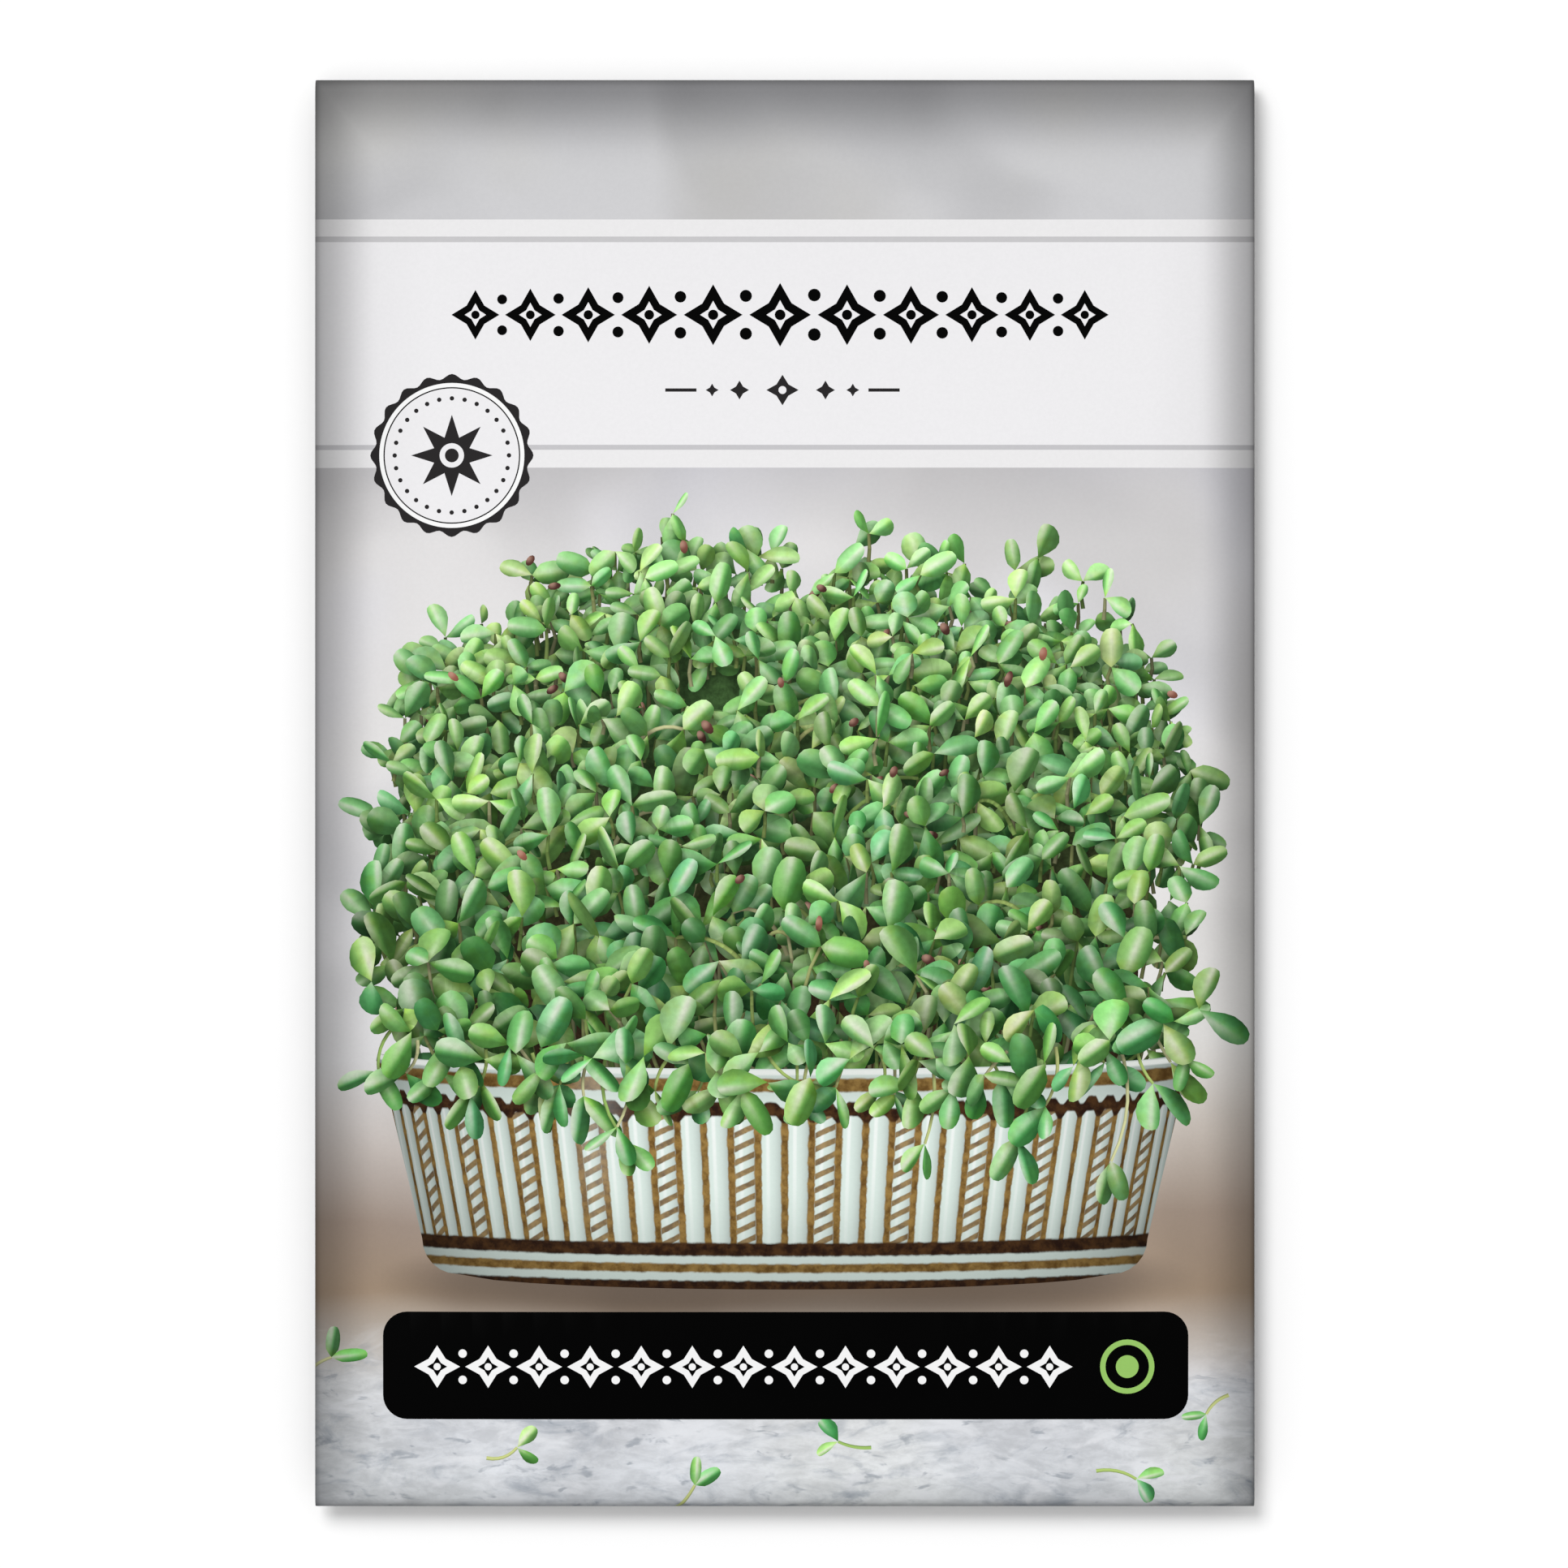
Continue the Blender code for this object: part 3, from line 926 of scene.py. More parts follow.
def visibleBorders(triangles, top):
    # edges where the shape on top changes
    sides = {}
    for triangle, number in zip(triangles, top):
        if number < 0:
            continue
        for a, b in zip(triangle, triangle[1:] + triangle[:1]):
            sides.setdefault((min(a, b), max(a, b)), []).append(number)
    return [edge for edge, numbers in sides.items() if len(numbers) < 2 or numbers[0] != numbers[1]]


def foldLines():
    # straight lines across the sheet where it bends round its folds
    lines = []
    for t in spread(0.0, quarter, sheet["foldSteps"]):
        for u in (sideFlat + sideFold * t, -sideFlat - sideFold * t):
            lines.append(((u, -edgeFoot), (u, edgeTop)))
        for v in (headFlat + headFold * t, -footFlat - footFold * t):
            lines.append(((-edgeU, v), (edgeU, v)))
    return lines


def gridPoints(pitch):
    columns, rows = int(2 * sideFlat / pitch), int((headFlat + footFlat) / pitch)
    us = np.linspace(-sideFlat, sideFlat, columns + 1)[1:-1]
    vs = np.linspace(-footFlat, headFlat, rows + 1)[1:-1]
    return [Vector((u, v)) for u in us for v in vs]


def splitLong(points, edges, longest):
    # long straight borders get points between, so that they can follow the swell
    short = []
    for a, b in edges:
        count = max(1, math.ceil((points[b] - points[a]).length / longest))
        chain = [a] + [len(points) + i for i in range(count - 1)] + [b]
        points += [points[a].lerp(points[b], i / count) for i in range(1, count)]
        short += list(zip(chain, chain[1:]))
    return short


def shapeAt(tree, top, x, y):
    # the number of the shape on top at a place, or 0 for the bare sheet
    hit = tree.ray_cast(Vector((x, y, 1.0)), Vector((0, 0, -1)))[2]
    return 0 if hit is None else top[hit]


def coverMap(tree, top):
    # which shape is on top in each small cell of the sheet
    cell = sheet["shadeCell"]
    columns, rows = int(2 * edgeU / cell) + 1, int((edgeTop + edgeFoot) / cell) + 1
    cover = np.zeros((rows, columns), dtype=int)
    for row in range(rows):
        v = -edgeFoot + (row + 0.5) * cell
        if sheet["shadeFrom"] < halfHigh - v < sheet["shadeTo"]:
            cover[row] = [shapeAt(tree, top, -edgeU + (column + 0.5) * cell, v) for column in range(columns)]
    return cover


def contactShade(cover, shapes, places, numbers):
    # how much of the ground near each corner is covered by shapes laid over it, mostly on the lit side
    shapeKinds = np.array([kinds["backdrop"]] + [shape["kind"] for shape in shapes])
    casts = np.isin(shapeKinds, [kinds[name] for name in ("leaf", "stem", "hull")])
    takes = casts | (shapeKinds == kinds["soil"])
    cell = sheet["shadeCell"]
    total, weights = np.zeros(len(places)), 0.0
    for reach in sheet["shadeReach"]:
        for angle in spread(0.0, math.tau, sheet["shadeTurns"])[:-1]:
            weight = (1.0 + 0.8 * math.cos(angle - sheet["shadeSide"])) / (0.6 + reach)
            column = ((places[:, 0] + edgeU + reach * math.cos(angle)) / cell).astype(int)
            row = ((places[:, 1] + edgeFoot + reach * math.sin(angle)) / cell).astype(int)
            found = cover[np.clip(row, 0, cover.shape[0] - 1), np.clip(column, 0, cover.shape[1] - 1)]
            total += weight * ((found > numbers) & casts[found])
            weights += weight
    return np.where(takes[numbers], total / weights, 0.0)


def cutSheet(shapes):
    spots, triangles, top = flattenShapes(shapes)
    borders = visibleBorders(triangles, top)
    used = sorted({i for edge in borders for i in edge})
    renumber = {old: new for new, old in enumerate(used)}
    points = [spots[i] for i in used]
    edges = [(renumber[a], renumber[b]) for a, b in borders]
    for line in foldLines():
        edges.append((len(points), len(points) + 1))
        points += [Vector(end) for end in line]
    edges = splitLong(points, edges, sheet["pitch"])
    points += gridPoints(sheet["pitch"])
    flat = delaunay_2d_cdt(points, edges, [], 0, sheet["merge"])
    tree = BVHTree.FromPolygons([(p.x, p.y, 0.0) for p in spots], triangles)
    numbers = []
    for triangle in flat[2]:
        middle = sum((flat[0][i] for i in triangle), Vector((0, 0))) / 3
        numbers.append(shapeAt(tree, top, middle.x, middle.y))
    places, kept, numbers = np.array([tuple(p) for p in flat[0]]), np.array(flat[2]), np.array(numbers)
    shade = contactShade(coverMap(tree, top), shapes, places[kept.reshape(-1)], np.repeat(numbers, 3))
    print("flat print:", len(triangles), "triangles cut,", len(kept), "kept")
    return places, kept, numbers, shade


def borderLoop(flat):
    # the sheet's outer points in order round its edge
    near = 1e-3
    right, left = np.abs(flat[:, 0] - edgeU) < near, np.abs(flat[:, 0] + edgeU) < near
    up, low = np.abs(flat[:, 1] - edgeTop) < near, np.abs(flat[:, 1] + edgeFoot) < near
    around = []
    for i in np.nonzero(right | left | up | low)[0]:
        u, v = flat[i]
        if low[i]:
            around.append((0, u, i))
        elif right[i]:
            around.append((1, v, i))
        elif up[i]:
            around.append((2, -u, i))
        else:
            around.append((3, -v, i))
    return [entry[2] for entry in sorted(around)]


def shapeTables(shapes):
    # each shape's tone, light and own axes, with the bare sheet as number 0
    rows = [((1, 1, 1), (0, 0, 0), (0, 0, 0), kinds["backdrop"], (0, 0), np.eye(2))]
    for shape in shapes:
        axes = np.array([shape["across"], shape["along"]], dtype=float).T
        if abs(np.linalg.det(axes)) < 1e-6:
            axes = np.eye(2)
        rows.append((shape["tone"], shape["light"], shape["gloss"], shape["kind"], tuple(shape["base"]),
                     np.linalg.inv(axes)))
    return [np.array(column, dtype=float) for column in zip(*rows)]


def buildFront(shapes, material):
    flat, triangles, numbers, shade = cutSheet(shapes)
    over, _ = drapeFront(flat[:, 0], flat[:, 1])
    loop = borderLoop(flat)
    # the unprinted inside: a coarse copy one paper's thickness below, joined round the edge
    inner = [Vector(flat[i]) for i in loop] + gridPoints(sheet["insidePitch"])
    rim = [(i, (i + 1) % len(loop)) for i in range(len(loop))]
    under = delaunay_2d_cdt(inner, rim, [], 0, 1e-6)
    underFlat = np.array([tuple(p) for p in under[0]])
    underSpots, underNormals = drapeFront(underFlat[:, 0], underFlat[:, 1])
    first = len(flat)
    newNumber = {old: new for new, olds in enumerate(under[3]) for old in olds}
    faces = [tuple(t) for t in triangles] + [tuple(first + i for i in reversed(t)) for t in under[2]]
    smooth = len(faces)
    faces += [(loop[b], loop[a], first + newNumber[a], first + newNumber[b]) for a, b in rim]
    spots = np.concatenate([over, underSpots - underNormals * packet["paper"]])
    mesh = plainMesh("packet_front", [tuple(p) for p in spots * mm], faces)
    mesh.update()
    paintCorners(mesh, flat, triangles, numbers, shade, shapeTables(shapes))
    unwrapFront(mesh, spots, len(triangles) * 3, smooth * 3)
    mesh.polygons.foreach_set("use_smooth", [i < smooth for i in range(len(faces))])
    mesh.materials.append(material)
    return addObject("packet_front", mesh)


def paintCorners(mesh, flat, triangles, numbers, shade, tables):
    # ink, light and place within the motif, for every corner of the mesh
    tones, lights, glosses, shapeKinds, bases, inverses = tables
    printed = len(triangles) * 3
    corner = np.repeat(numbers, 3)
    spot = flat[triangles.reshape(-1)] - bases[corner]
    tone = np.ones((len(mesh.loops), 4))
    motif, light, gloss = (np.zeros((len(mesh.loops), 3)) for _ in range(3))
    tone[:printed, :3] = tones[corner] * (1 - sheet["shadeDepth"] * np.minimum(1, 1.75 * shade))[:, None]
    motif[:printed, :2] = np.einsum("nij,nj->ni", inverses[corner], spot)
    motif[:printed, 2] = shapeKinds[corner]
    motif[printed:, 2] = kinds["bare"]
    light[:printed] = lights[corner]
    gloss[:printed] = glosses[corner] * (1 - 0.25 * np.minimum(1, 2 * shade))[:, None]
    layer = mesh.color_attributes.new("printInk", "FLOAT_COLOR", "CORNER")
    layer.data.foreach_set("color", tone.reshape(-1))
    for name, values in (("motifPlace", motif), ("motifLight", light), ("motifGloss", gloss)):
        layer = mesh.attributes.new(name, "FLOAT_VECTOR", "CORNER")
        layer.data.foreach_set("vector", values.reshape(-1))


# strips of the front's map, as left edge and width: the print, the inside and the cut edge
mapStrips = {"print": (0.004, 0.936), "inside": (0.945, 0.03), "edge": (0.980, 0.006), "edgeStep": 0.009}


def unwrapFront(mesh, spots, printed, smooth):
    # printed and smooth: where the corners of the print and of the inside end
    uv = mesh.uv_layers.new(name="OFBake")
    corners = np.empty(len(mesh.loops), dtype=int)
    mesh.loops.foreach_get("vertex_index", corners)
    margin = mapStrips["print"][0]
    across = spots[corners, 0] / packetWidth + 0.5
    places = np.empty((len(corners), 2))
    places[:, 1] = margin + (1 - 2 * margin) * (spots[corners, 1] / packetHeight + 0.5)
    for part, name in ((slice(0, printed), "print"), (slice(printed, smooth), "inside")):
        left, width = mapStrips[name]
        places[part, 0] = left + width * across[part]
    left, width = mapStrips["edge"]
    inner = np.tile([0, 0, 1, 1], (len(corners) - smooth) // 4)
    places[smooth:, 0] = left + width * inner + mapStrips["edgeStep"] * (across[smooth:] > 0.5)
    uv.data.foreach_set("uv", places.reshape(-1))


# painted shade along the packet's edges: how far it reaches in from each edge and how dark it gets
edgeShade = {
    "left": 10.0,  # how far in the darkening reaches from each edge
    "right": 8.9,
    "top": 12.2,
    "foot": 3.2,
    "corner": 0.38,  # how much darker the corners are than the edges
    "stops": ((0.0, 0.20), (0.02, 0.30), (0.048, 0.41), (0.075, 0.454), (0.144, 0.516), (0.213, 0.59),
              (0.281, 0.677), (0.35, 0.77), (0.419, 0.854), (0.487, 0.926), (0.556, 0.958), (0.76, 0.978),
              (1.0, 1.0)),
    "footStops": ((0.0, 0.36), (0.1, 0.56), (0.2, 0.69), (0.4, 0.81), (0.7, 0.94), (1.0, 1.0)),
}


def paintedEdgeShade(x, y, fromTop):
    # painted shade that runs in from the packet's edges, standing in for the shade where its rounded folds
    # turn from the light; darkest in the corners
    def fade(inwards, side):
        return ramp(inwards / edgeShade[side], edgeShade["footStops" if side == "foot" else "stops"])

    sides = fade(halfWide + x, "left") * fade(halfWide - x, "right")
    ends = fade(fromTop, "top") * fade(halfHigh + y, "foot")
    lighter = calc("MAXIMUM", sides, ends) ** edgeShade["corner"]
    return calc("MINIMUM", sides, ends) * lighter


backdrop = {
    "wall": ((0.0, "bcbcbf"), (0.06, "cdcdcf"), (0.27, "cac9ce"), (0.33, "dddce0"), (0.55, "e6e5e8"),
             (0.68, "e3e2e3"), (0.745, "cbc2bc"), (0.80, "a8978b"), (0.85, "a8937f"), (0.885, "c8c0b9"),
             (0.915, "dadce1"), (1.0, "e2e6eb")),  # from the packet's top to its foot
    "sway": 7.0,  # how far the wall's tones wander up and down
    "warmTint": "fffefa",
    "stretch": (0.5, 1.15, 1.0),  # the stone's blotches lie flatter than they are wide
    "grain": (1.0, 6.0, 0.66, 0.4),  # scale, detail, roughness and distortion of a noise
    # blotches: the noise, where they start and are full, how strong they are, and their tone
    "blotches": (((0.27, 5.0, 0.62, 1.0), 0.50, 0.72, 0.70, "98a1ac"),
                 ((0.36, 4.0, 0.6, 0.6), 0.50, 0.30, 0.75, "eceef2"),
                 ((0.8, 3.0, 0.55, 0.5), 0.60, 0.72, 0.55, "848d98")),
    "tableEdge": (0.86, 0.93),  # where the stone comes in, as a share of the packet's height
    "shadow": (5.0, 0.6, 4.2, 0.72),  # under the trough: past its foot, above it, below it, and how deep
    "shadowTone": "4c423b",
}


def backdropInk(where, x, fromTop):
    # soft wall, a warm blur behind the trough and a mottled pale stone in front
    drift = noise(where, 0.035, 2.0)
    height = fromTop + (drift - 0.5) * backdrop["sway"]
    wall = ramp(height / packetHeight, backdrop["wall"])
    wall = scaled(wall, ease(noise(where, 0.055, 1.5, 0.5, 0.6), 0.36, 0.64, 0.90, 1.07))
    wall = mixInk(ease(drift, 0.42, 0.60), wall, tinted(wall, backdrop["warmTint"]))
    drawn = wire("ShaderNodeVectorMath", {0: where, 1: backdrop["stretch"]}, operation="MULTIPLY")
    stone = scaled(wall, ease(noise(drawn, *backdrop["grain"]), 0.32, 0.68, 0.87, 1.07))
    for blots, start, full, strength, tone in backdrop["blotches"]:
        stone = mixInk(ease(noise(drawn, *blots), start, full, 0.0, strength), stone, tone)
    start, full = backdrop["tableEdge"]
    color = mixInk(ease(height, packetHeight * start, packetHeight * full), wall, stone)
    past, above, below, depth = backdrop["shadow"]
    down = (fromTop - (trough["bottom"] - above)) / below
    reach = abs(x / (trough["footHalf"] + past)) ** 4.0 + down * down
    return mixInk(ease(reach, 1.0, 0.1, 0.0, depth), color, backdrop["shadowTone"])


leafLook = {
    "plump": 1.9,
    "shadeLight": 0.39,  # light on the sides that face away
    "directLight": 0.97,
    "footTint": "fff3a8",
    "shadeTint": "8ad8a8",
    "patchTint": "ffef90",
    "rim": 0.22,
    "rib": 0.10,
    "shinePower": 7.0,
    "shine": 0.76,
    "shineTone": "fff2f2",
}


def leafInk(tone, where, s, t, light, gloss):
    # a plump blade lit from the upper left: each place on it faces its own way
    swellX, swellY = s * leafLook["plump"], t - 0.55
    size = calc("SQRT", 1.0 + (swellX * swellX + swellY * swellY))

    def facing(direction):
        total = swellX * direction[0] + swellY * direction[1] + direction[2]
        return calc("MAXIMUM", total / size, 0.0)

    direct, away = facing(light), abs(s)
    body = mixInk(ease(t, 0.34, 0.02, 0.0, 0.55), tone, tinted(tone, leafLook["footTint"]))
    body = mixInk(ease(direct, 0.75, 0.15, 0.0, 0.60), body, tinted(body, leafLook["shadeTint"]))
    patch = ease(noise(where, 0.6, 2.0), 0.48, 0.70, 0.0, 0.38)
    body = mixInk(patch, body, tinted(body, leafLook["patchTint"]))
    body = scaled(body, leafLook["shadeLight"] + direct * leafLook["directLight"])
    rim = ease(away, 0.62, 1.0) * ease(direct, 0.95, 0.5)
    body = scaled(body, 1.0 - rim * leafLook["rim"])
    rib = ease(away, 0.12, 0.0) * ease(t, 0.85, 0.25)
    body = scaled(body, 1.0 + rib * leafLook["rib"])
    highlight = scaled(mixInk(0.84, tone, leafLook["shineTone"]), direct * 1.05)
    body = mixInk(facing(gloss) ** leafLook["shinePower"] * leafLook["shine"], body, highlight)
    return scaled(body, mottle(where, 1.8, 3.0, 0.92, 1.06))


def stemInk(tone, s):
    # lighter along the middle, and on the left
    return scaled(tone, 1.06 - s * s * 0.45 - s * 0.2)


def hullInk(tone, s, t):
    # an oval husk with a pale spot of light and a dark rim
    spot = distance(s + 0.22, t - 0.25)
    body = scaled(tone, ease(spot, 0.3, 1.3, 1.15, 0.42))
    return mixInk(ease(spot, 0.55, 0.05, 0.0, 0.55), body, "d2a894")


def troughInk(tone, where, s, t):
    # pale glaze on upright flutes, gold-brown in the grooves, on the rim and round the foot
    bow = trough["sag"] / (trough["bottom"] - trough["rimTop"])
    level = t - bow * calc("SQRT", calc("MAXIMUM", 1.0 - s * s, 0.0))  # 0 at the rim and 1 at the foot
    taper = 1.0 - t * (1 - trough["footHalf"] / trough["rimHalf"])
    aside = calc("MINIMUM", 0.999, abs(s / taper))
    turned = calc("ARCSINE", aside * 0.96) * calc("SIGN", s) * trough["flutes"]
    flute = calc("FRACT", turned) - 0.5
    groove = abs(flute)
    brush = noise(where, 1.1, 5.0, 0.6)
    wobble = (brush - 0.5) * 0.16
    inFlutes = between(level, 0.205, 0.80, 0.008)
    body = scaled(tone, 1.05 - (flute * 0.42 + groove * groove * 1.3) * inFlutes)
    ridge = ease(abs(flute + 0.13), 0.11, 0.02) * inFlutes
    body = mixInk(ridge * ease(level, 0.8, 0.25, 0.20, 0.70), body, "fafcfa")
    glaze = mixInk(ease(brush, 0.3, 0.7), "674a22", "a08048")
    darkGlaze = mixInk(ease(brush, 0.35, 0.7), "2c1a12", "54381f")
    # every third flute has slanting dashes
    painted = calc("COMPARE", calc("FLOORED_MODULO", calc("FLOOR", turned), 3.0), 1.0, 0.1)
    rung = calc("FRACT", level * trough["rungs"] + flute * 0.9)
    dash = between(rung + wobble, 0.28, 0.72, 0.05) * painted * ease(groove, 0.40, 0.34)
    body = mixInk(dash * inFlutes * 0.92, body, glaze)
    body = mixInk(ease(groove + wobble, 0.33, 0.40) * inFlutes, body, glaze)
    ragged = level + wobble * 0.10
    drip = ragged - ease(groove, 0.15, 0.45) * 0.030
    for down, low, high, band in ((ragged, 0.045, 0.105, glaze), (drip, 0.150, 0.215, darkGlaze),
                                  (ragged, 0.790, 0.850, darkGlaze), (ragged, 0.885, 0.925, glaze)):
        body = mixInk(between(down, low, high, 0.006), body, band)
    body = mixInk(ease(ragged, 0.955, 0.967), body, darkGlaze)
    shade = (1.04 - aside ** 4.0 * 0.62) * ease(level, 0.50, 1.05, 1.0, 0.66)
    body = scaled(body, shade * ease(level, 0.03, 0.24, 0.78, 1.0))
    body = mixInk(between(level, 0.004, 0.028, 0.006) * 0.65, body, "f5f6f2")
    sheen = ease(abs(s + 0.46), 0.10, 0.0) * ease(level, 0.85, 0.2)
    return mixInk(sheen * 0.15, body, "f4f7f4")


def soilInk(tone, where, t):
    deep = mixInk(ease(t, 0.10, 0.85), "2b2014", tone)
    return scaled(deep, mottle(where, 1.1, 6.0, 0.55, 1.35, 0.7))


def paperBump(where, lumps):
    # fine paper tooth, with the seeds pressing faintly through the swollen middle
    seeds = wire("ShaderNodeTexVoronoi", {"Vector": where, "Scale": 0.42}, "Distance",
                 voronoi_dimensions="2D", feature="SMOOTH_F1")
    return bump(noise(where, 9.0, 2.0, 0.65) * 0.012 + seeds * (-0.05 * lumps), 0.25, mm)


def printedPaper(where, x, y, fromTop):
    tone = attribute("printInk", "Color")
    s, t, kind = split(attribute("motifPlace"))
    light, gloss = split(attribute("motifLight")), split(attribute("motifGloss"))

    def isKind(name):
        return calc("COMPARE", kind, float(kinds[name]), 0.4)

    color = backdropInk(where, x, fromTop)
    for name, part in (("leaf", leafInk(tone, where, s, t, light, gloss)), ("stem", stemInk(tone, s)),
                       ("hull", hullInk(tone, s, t)), ("trough", troughInk(tone, where, s, t)),
                       ("flat", tone), ("soil", soilInk(tone, where, t))):
        color = mixInk(isKind(name), color, part)
    # painted shade along the packet's edges, laid over the whole print
    color = scaled(color, paintedEdgeShade(x, y, fromTop))
    color = scaled(color, mottle(where, 3.2, 3.0, 0.870, 0.890, 0.6))
    return {
        "Base Color": mixInk(isKind("bare"), color, "ebeae6"),
        "Roughness": mottle(where, 0.25, 3.0, 0.42, 0.52),
        "Specular IOR Level": 0.03,
        "Normal": paperBump(where, 1.0),
    }


backPrint = {
    "paper": "eeedec",
    "frame": (33.6, 27.0, 112.6),  # half width, from the top, to this far down
    "rules": (40.0, 96.0, 5.6),  # first and last ruled line from the top, and their pitch
    "ruleInset": 3.5,
    "ruleInk": "a9a8ab",
    "chainTop": 33.4,
    "chainPitch": 3.9,
    "chainHalf": 7.5,  # in pitches
    "ring": (104.6, 2.5),
    "ringInk": "86b557",
}


def backInks(x, fromTop):
    # a thin double frame, ruled lines, a chain of small lozenges and a ring
    half, top, bottom = backPrint["frame"]
    away = calc("MAXIMUM", abs(x) - half, abs(fromTop - (top + bottom) / 2) - (bottom - top) / 2)
    color = mixInk(ease(away, 1.9, 2.1, 0.0, 0.5), backPrint["paper"], inks["rule"])
    for low, high in ((0.62, 0.86), (-0.06, 0.06)):
        color = mixInk(between(away, low, high, 0.04), color, inks["soft"])
    first, last, pitch = backPrint["rules"]
    step = calc("FRACT", (fromTop - first) / pitch + 0.5)
    end = half - backPrint["ruleInset"]
    inside = between(fromTop, first - 1, last + 1, 0.1) * ease(abs(x), end + 0.1, end - 0.1)
    color = mixInk(between(step, 0.488, 0.512, 0.006) * inside, color, backPrint["ruleInk"])
    pitch = backPrint["chainPitch"]
    along = abs(calc("FRACT", x / pitch + 0.5) - 0.5)
    size = along * (1 / 0.36) + abs(fromTop - backPrint["chainTop"]) / 1.25
    end = pitch * backPrint["chainHalf"]
    color = mixInk(between(size, 0.42, 1.0, 0.05) * ease(abs(x), end, end - 0.02), color, inks["soft"])
    ringTop, radius = backPrint["ring"]
    reach = distance(x, fromTop - ringTop)
    color = mixInk(between(reach, radius * 0.8, radius, 0.04), color, backPrint["ringInk"])
    return mixInk(ease(reach, radius * 0.42 + 0.04, radius * 0.42 - 0.04), color, backPrint["ringInk"])


def backPaper(where, x, y, fromTop):
    # the packet's back and flaps: pale stock with its own print, and painted shade along the edges
    cloud = mottle(where, 0.12, 3.0, 0.87, 0.91) * mottle(where, 2.2, 6.0, 0.98, 1.01, 0.65)
    # how strong the painted edge shade is: as dark as the front's at the folds, lighter lower down
    strength = ease(split(where)[2], 0.45, 1.6, 0.5, 1.0)  # as dark as the front at the folds, lighter below
    color = scaled(backInks(x, fromTop), cloud)
    return {
        "Base Color": scaled(color, paintedEdgeShade(x, y, fromTop) ** strength),
        "Roughness": mottle(where, 0.3, 3.0, 0.42, 0.55),
        "Specular IOR Level": 0.12,
        "Normal": paperBump(where, 0.7),
    }


def driedGlue(where, x, y, fromTop):
    return {
        "Base Color": mixInk(ease(noise(where, 0.7, 4.0), 0.35, 0.65), "efe9d2", "e2d8b4"),
        "Roughness": mottle(where, 1.5, 3.0, 0.22, 0.4),
        "Normal": bump(noise(where, 1.2, 4.0), 0.4, 0.05 * mm),
    }


def seedHull(where, x, y, fromTop):
    pick = split(wire("ShaderNodeTexVoronoi", {"Vector": where, "Scale": 0.45}, "Color", feature="F1"))[0]
    tone = ramp(pick, ((0.0, "b98a3d"), (0.4, "a57a34"), (0.75, "8f6b2e"), (1.0, "7c6a35")))
    return {
        "Base Color": scaled(tone, mottle(where, 4.0, 3.0, 0.82, 1.12)),
        "Roughness": mottle(where, 6.0, 2.0, 0.42, 0.6),
        "Normal": bump(noise(where, 8.0, 3.0), 0.3, 0.05 * mm),
    }


def studioFloor(where, x, y, fromTop):
    return {
        "Base Color": mixInk(mottle(where, 0.01, 2.0, 0.950, 0.960), "000000", "ffffff"),
        "Roughness": 0.9,
        "Specular IOR Level": 0.1,
    }


# The rest of the sheet: back panel, side flaps and top flap, each from its fold's middle on.

def foldRest(x, y, z, outX, outY, radius, steps):
    # the lower quarter of a fold, from its outermost line to the face below
    points = []
    for angle in spread(quarter, math.pi, steps):
        reach = radius * math.sin(angle)
        points.append((x + outX * reach, y + outY * reach, z - radius + radius * math.cos(angle)))
    return points


def sheetPiece(name, lines, material, flip):
    # a paper piece skinned over lines of places, then given its thickness inwards
    bm = bmesh.new()
    rows = [[bm.verts.new((x * mm, y * mm, z * mm)) for x, y, z in line] for line in lines]
    for lower, upper in zip(rows, rows[1:]):
        for a, b, c, d in zip(lower, lower[1:], upper[1:], upper):
            bm.faces.new((a, d, c, b) if flip else (a, b, c, d))
    mesh = smoothMesh(name, bm)
    mesh.materials.append(material)
    obj = addObject(name, mesh)
    thickness = obj.modifiers.new("thickness", "SOLIDIFY")
    thickness.thickness = packet["paper"] * mm
    thickness.offset = -1.0
    thickness.use_even_offset = True
    solid = finishedMesh(obj)
    obj.modifiers.remove(thickness)
    obj.data = solid
    solid.name = name
    solid.set_sharp_from_angle(angle=math.radians(40))
    return obj


def backPanel(material):
    front, back = sideFlat, halfWide - packet["backInset"]
    lines = []
    for x in spread(-1.0, 1.0, 48):
        z = float(frontHeight(x * front, -footFlat))
        line = []
        for i, (_, y, foldZ) in enumerate(foldRest(x, -footFlat, z, 0, -1, footFold, 6)):
            line.append((x * (front + (back - front) * (6 + i) / 12), y, foldZ))
        for y in spread(-footFlat, halfHigh - packet["backTop"], 72)[1:]:
            line.append((x * back, y, float(backHeight(x * back, y))))
        lines.append(line)
    return sheetPiece("back_panel", lines, material, False)


def sideFlap(name, side, material):
    lines = []
    end = halfHigh - packet["sideFlapEnd"]
    for part in spread(-1.0, 1.0, 60):
        z = float(frontHeight(side * sideFlat, part * end))
        line = foldRest(side * sideFlat, part * end, z, side, 0, sideFold, 5)
        for inward in spread(0.0, packet["sideFlap"], 10)[1:]:
            x = side * (sideFlat - inward)
            y = part * (end - packet["sideFlapTaper"] * inward / packet["sideFlap"])
            line.append((x, y, float(backHeight(x, y)) + packet["flapLift"]))
        lines.append(line)
    return sheetPiece(name, lines, material, side < 0)


def topFlapHalf(down):
    half = sideFlat - packet["topFlapTaper"] * down / packet["topFlap"]
    corner = packet["topFlapCorner"]
    into = max(0.0, down - (packet["topFlap"] - corner))
    return half - corner + math.sqrt(max(0.0, corner ** 2 - into ** 2))


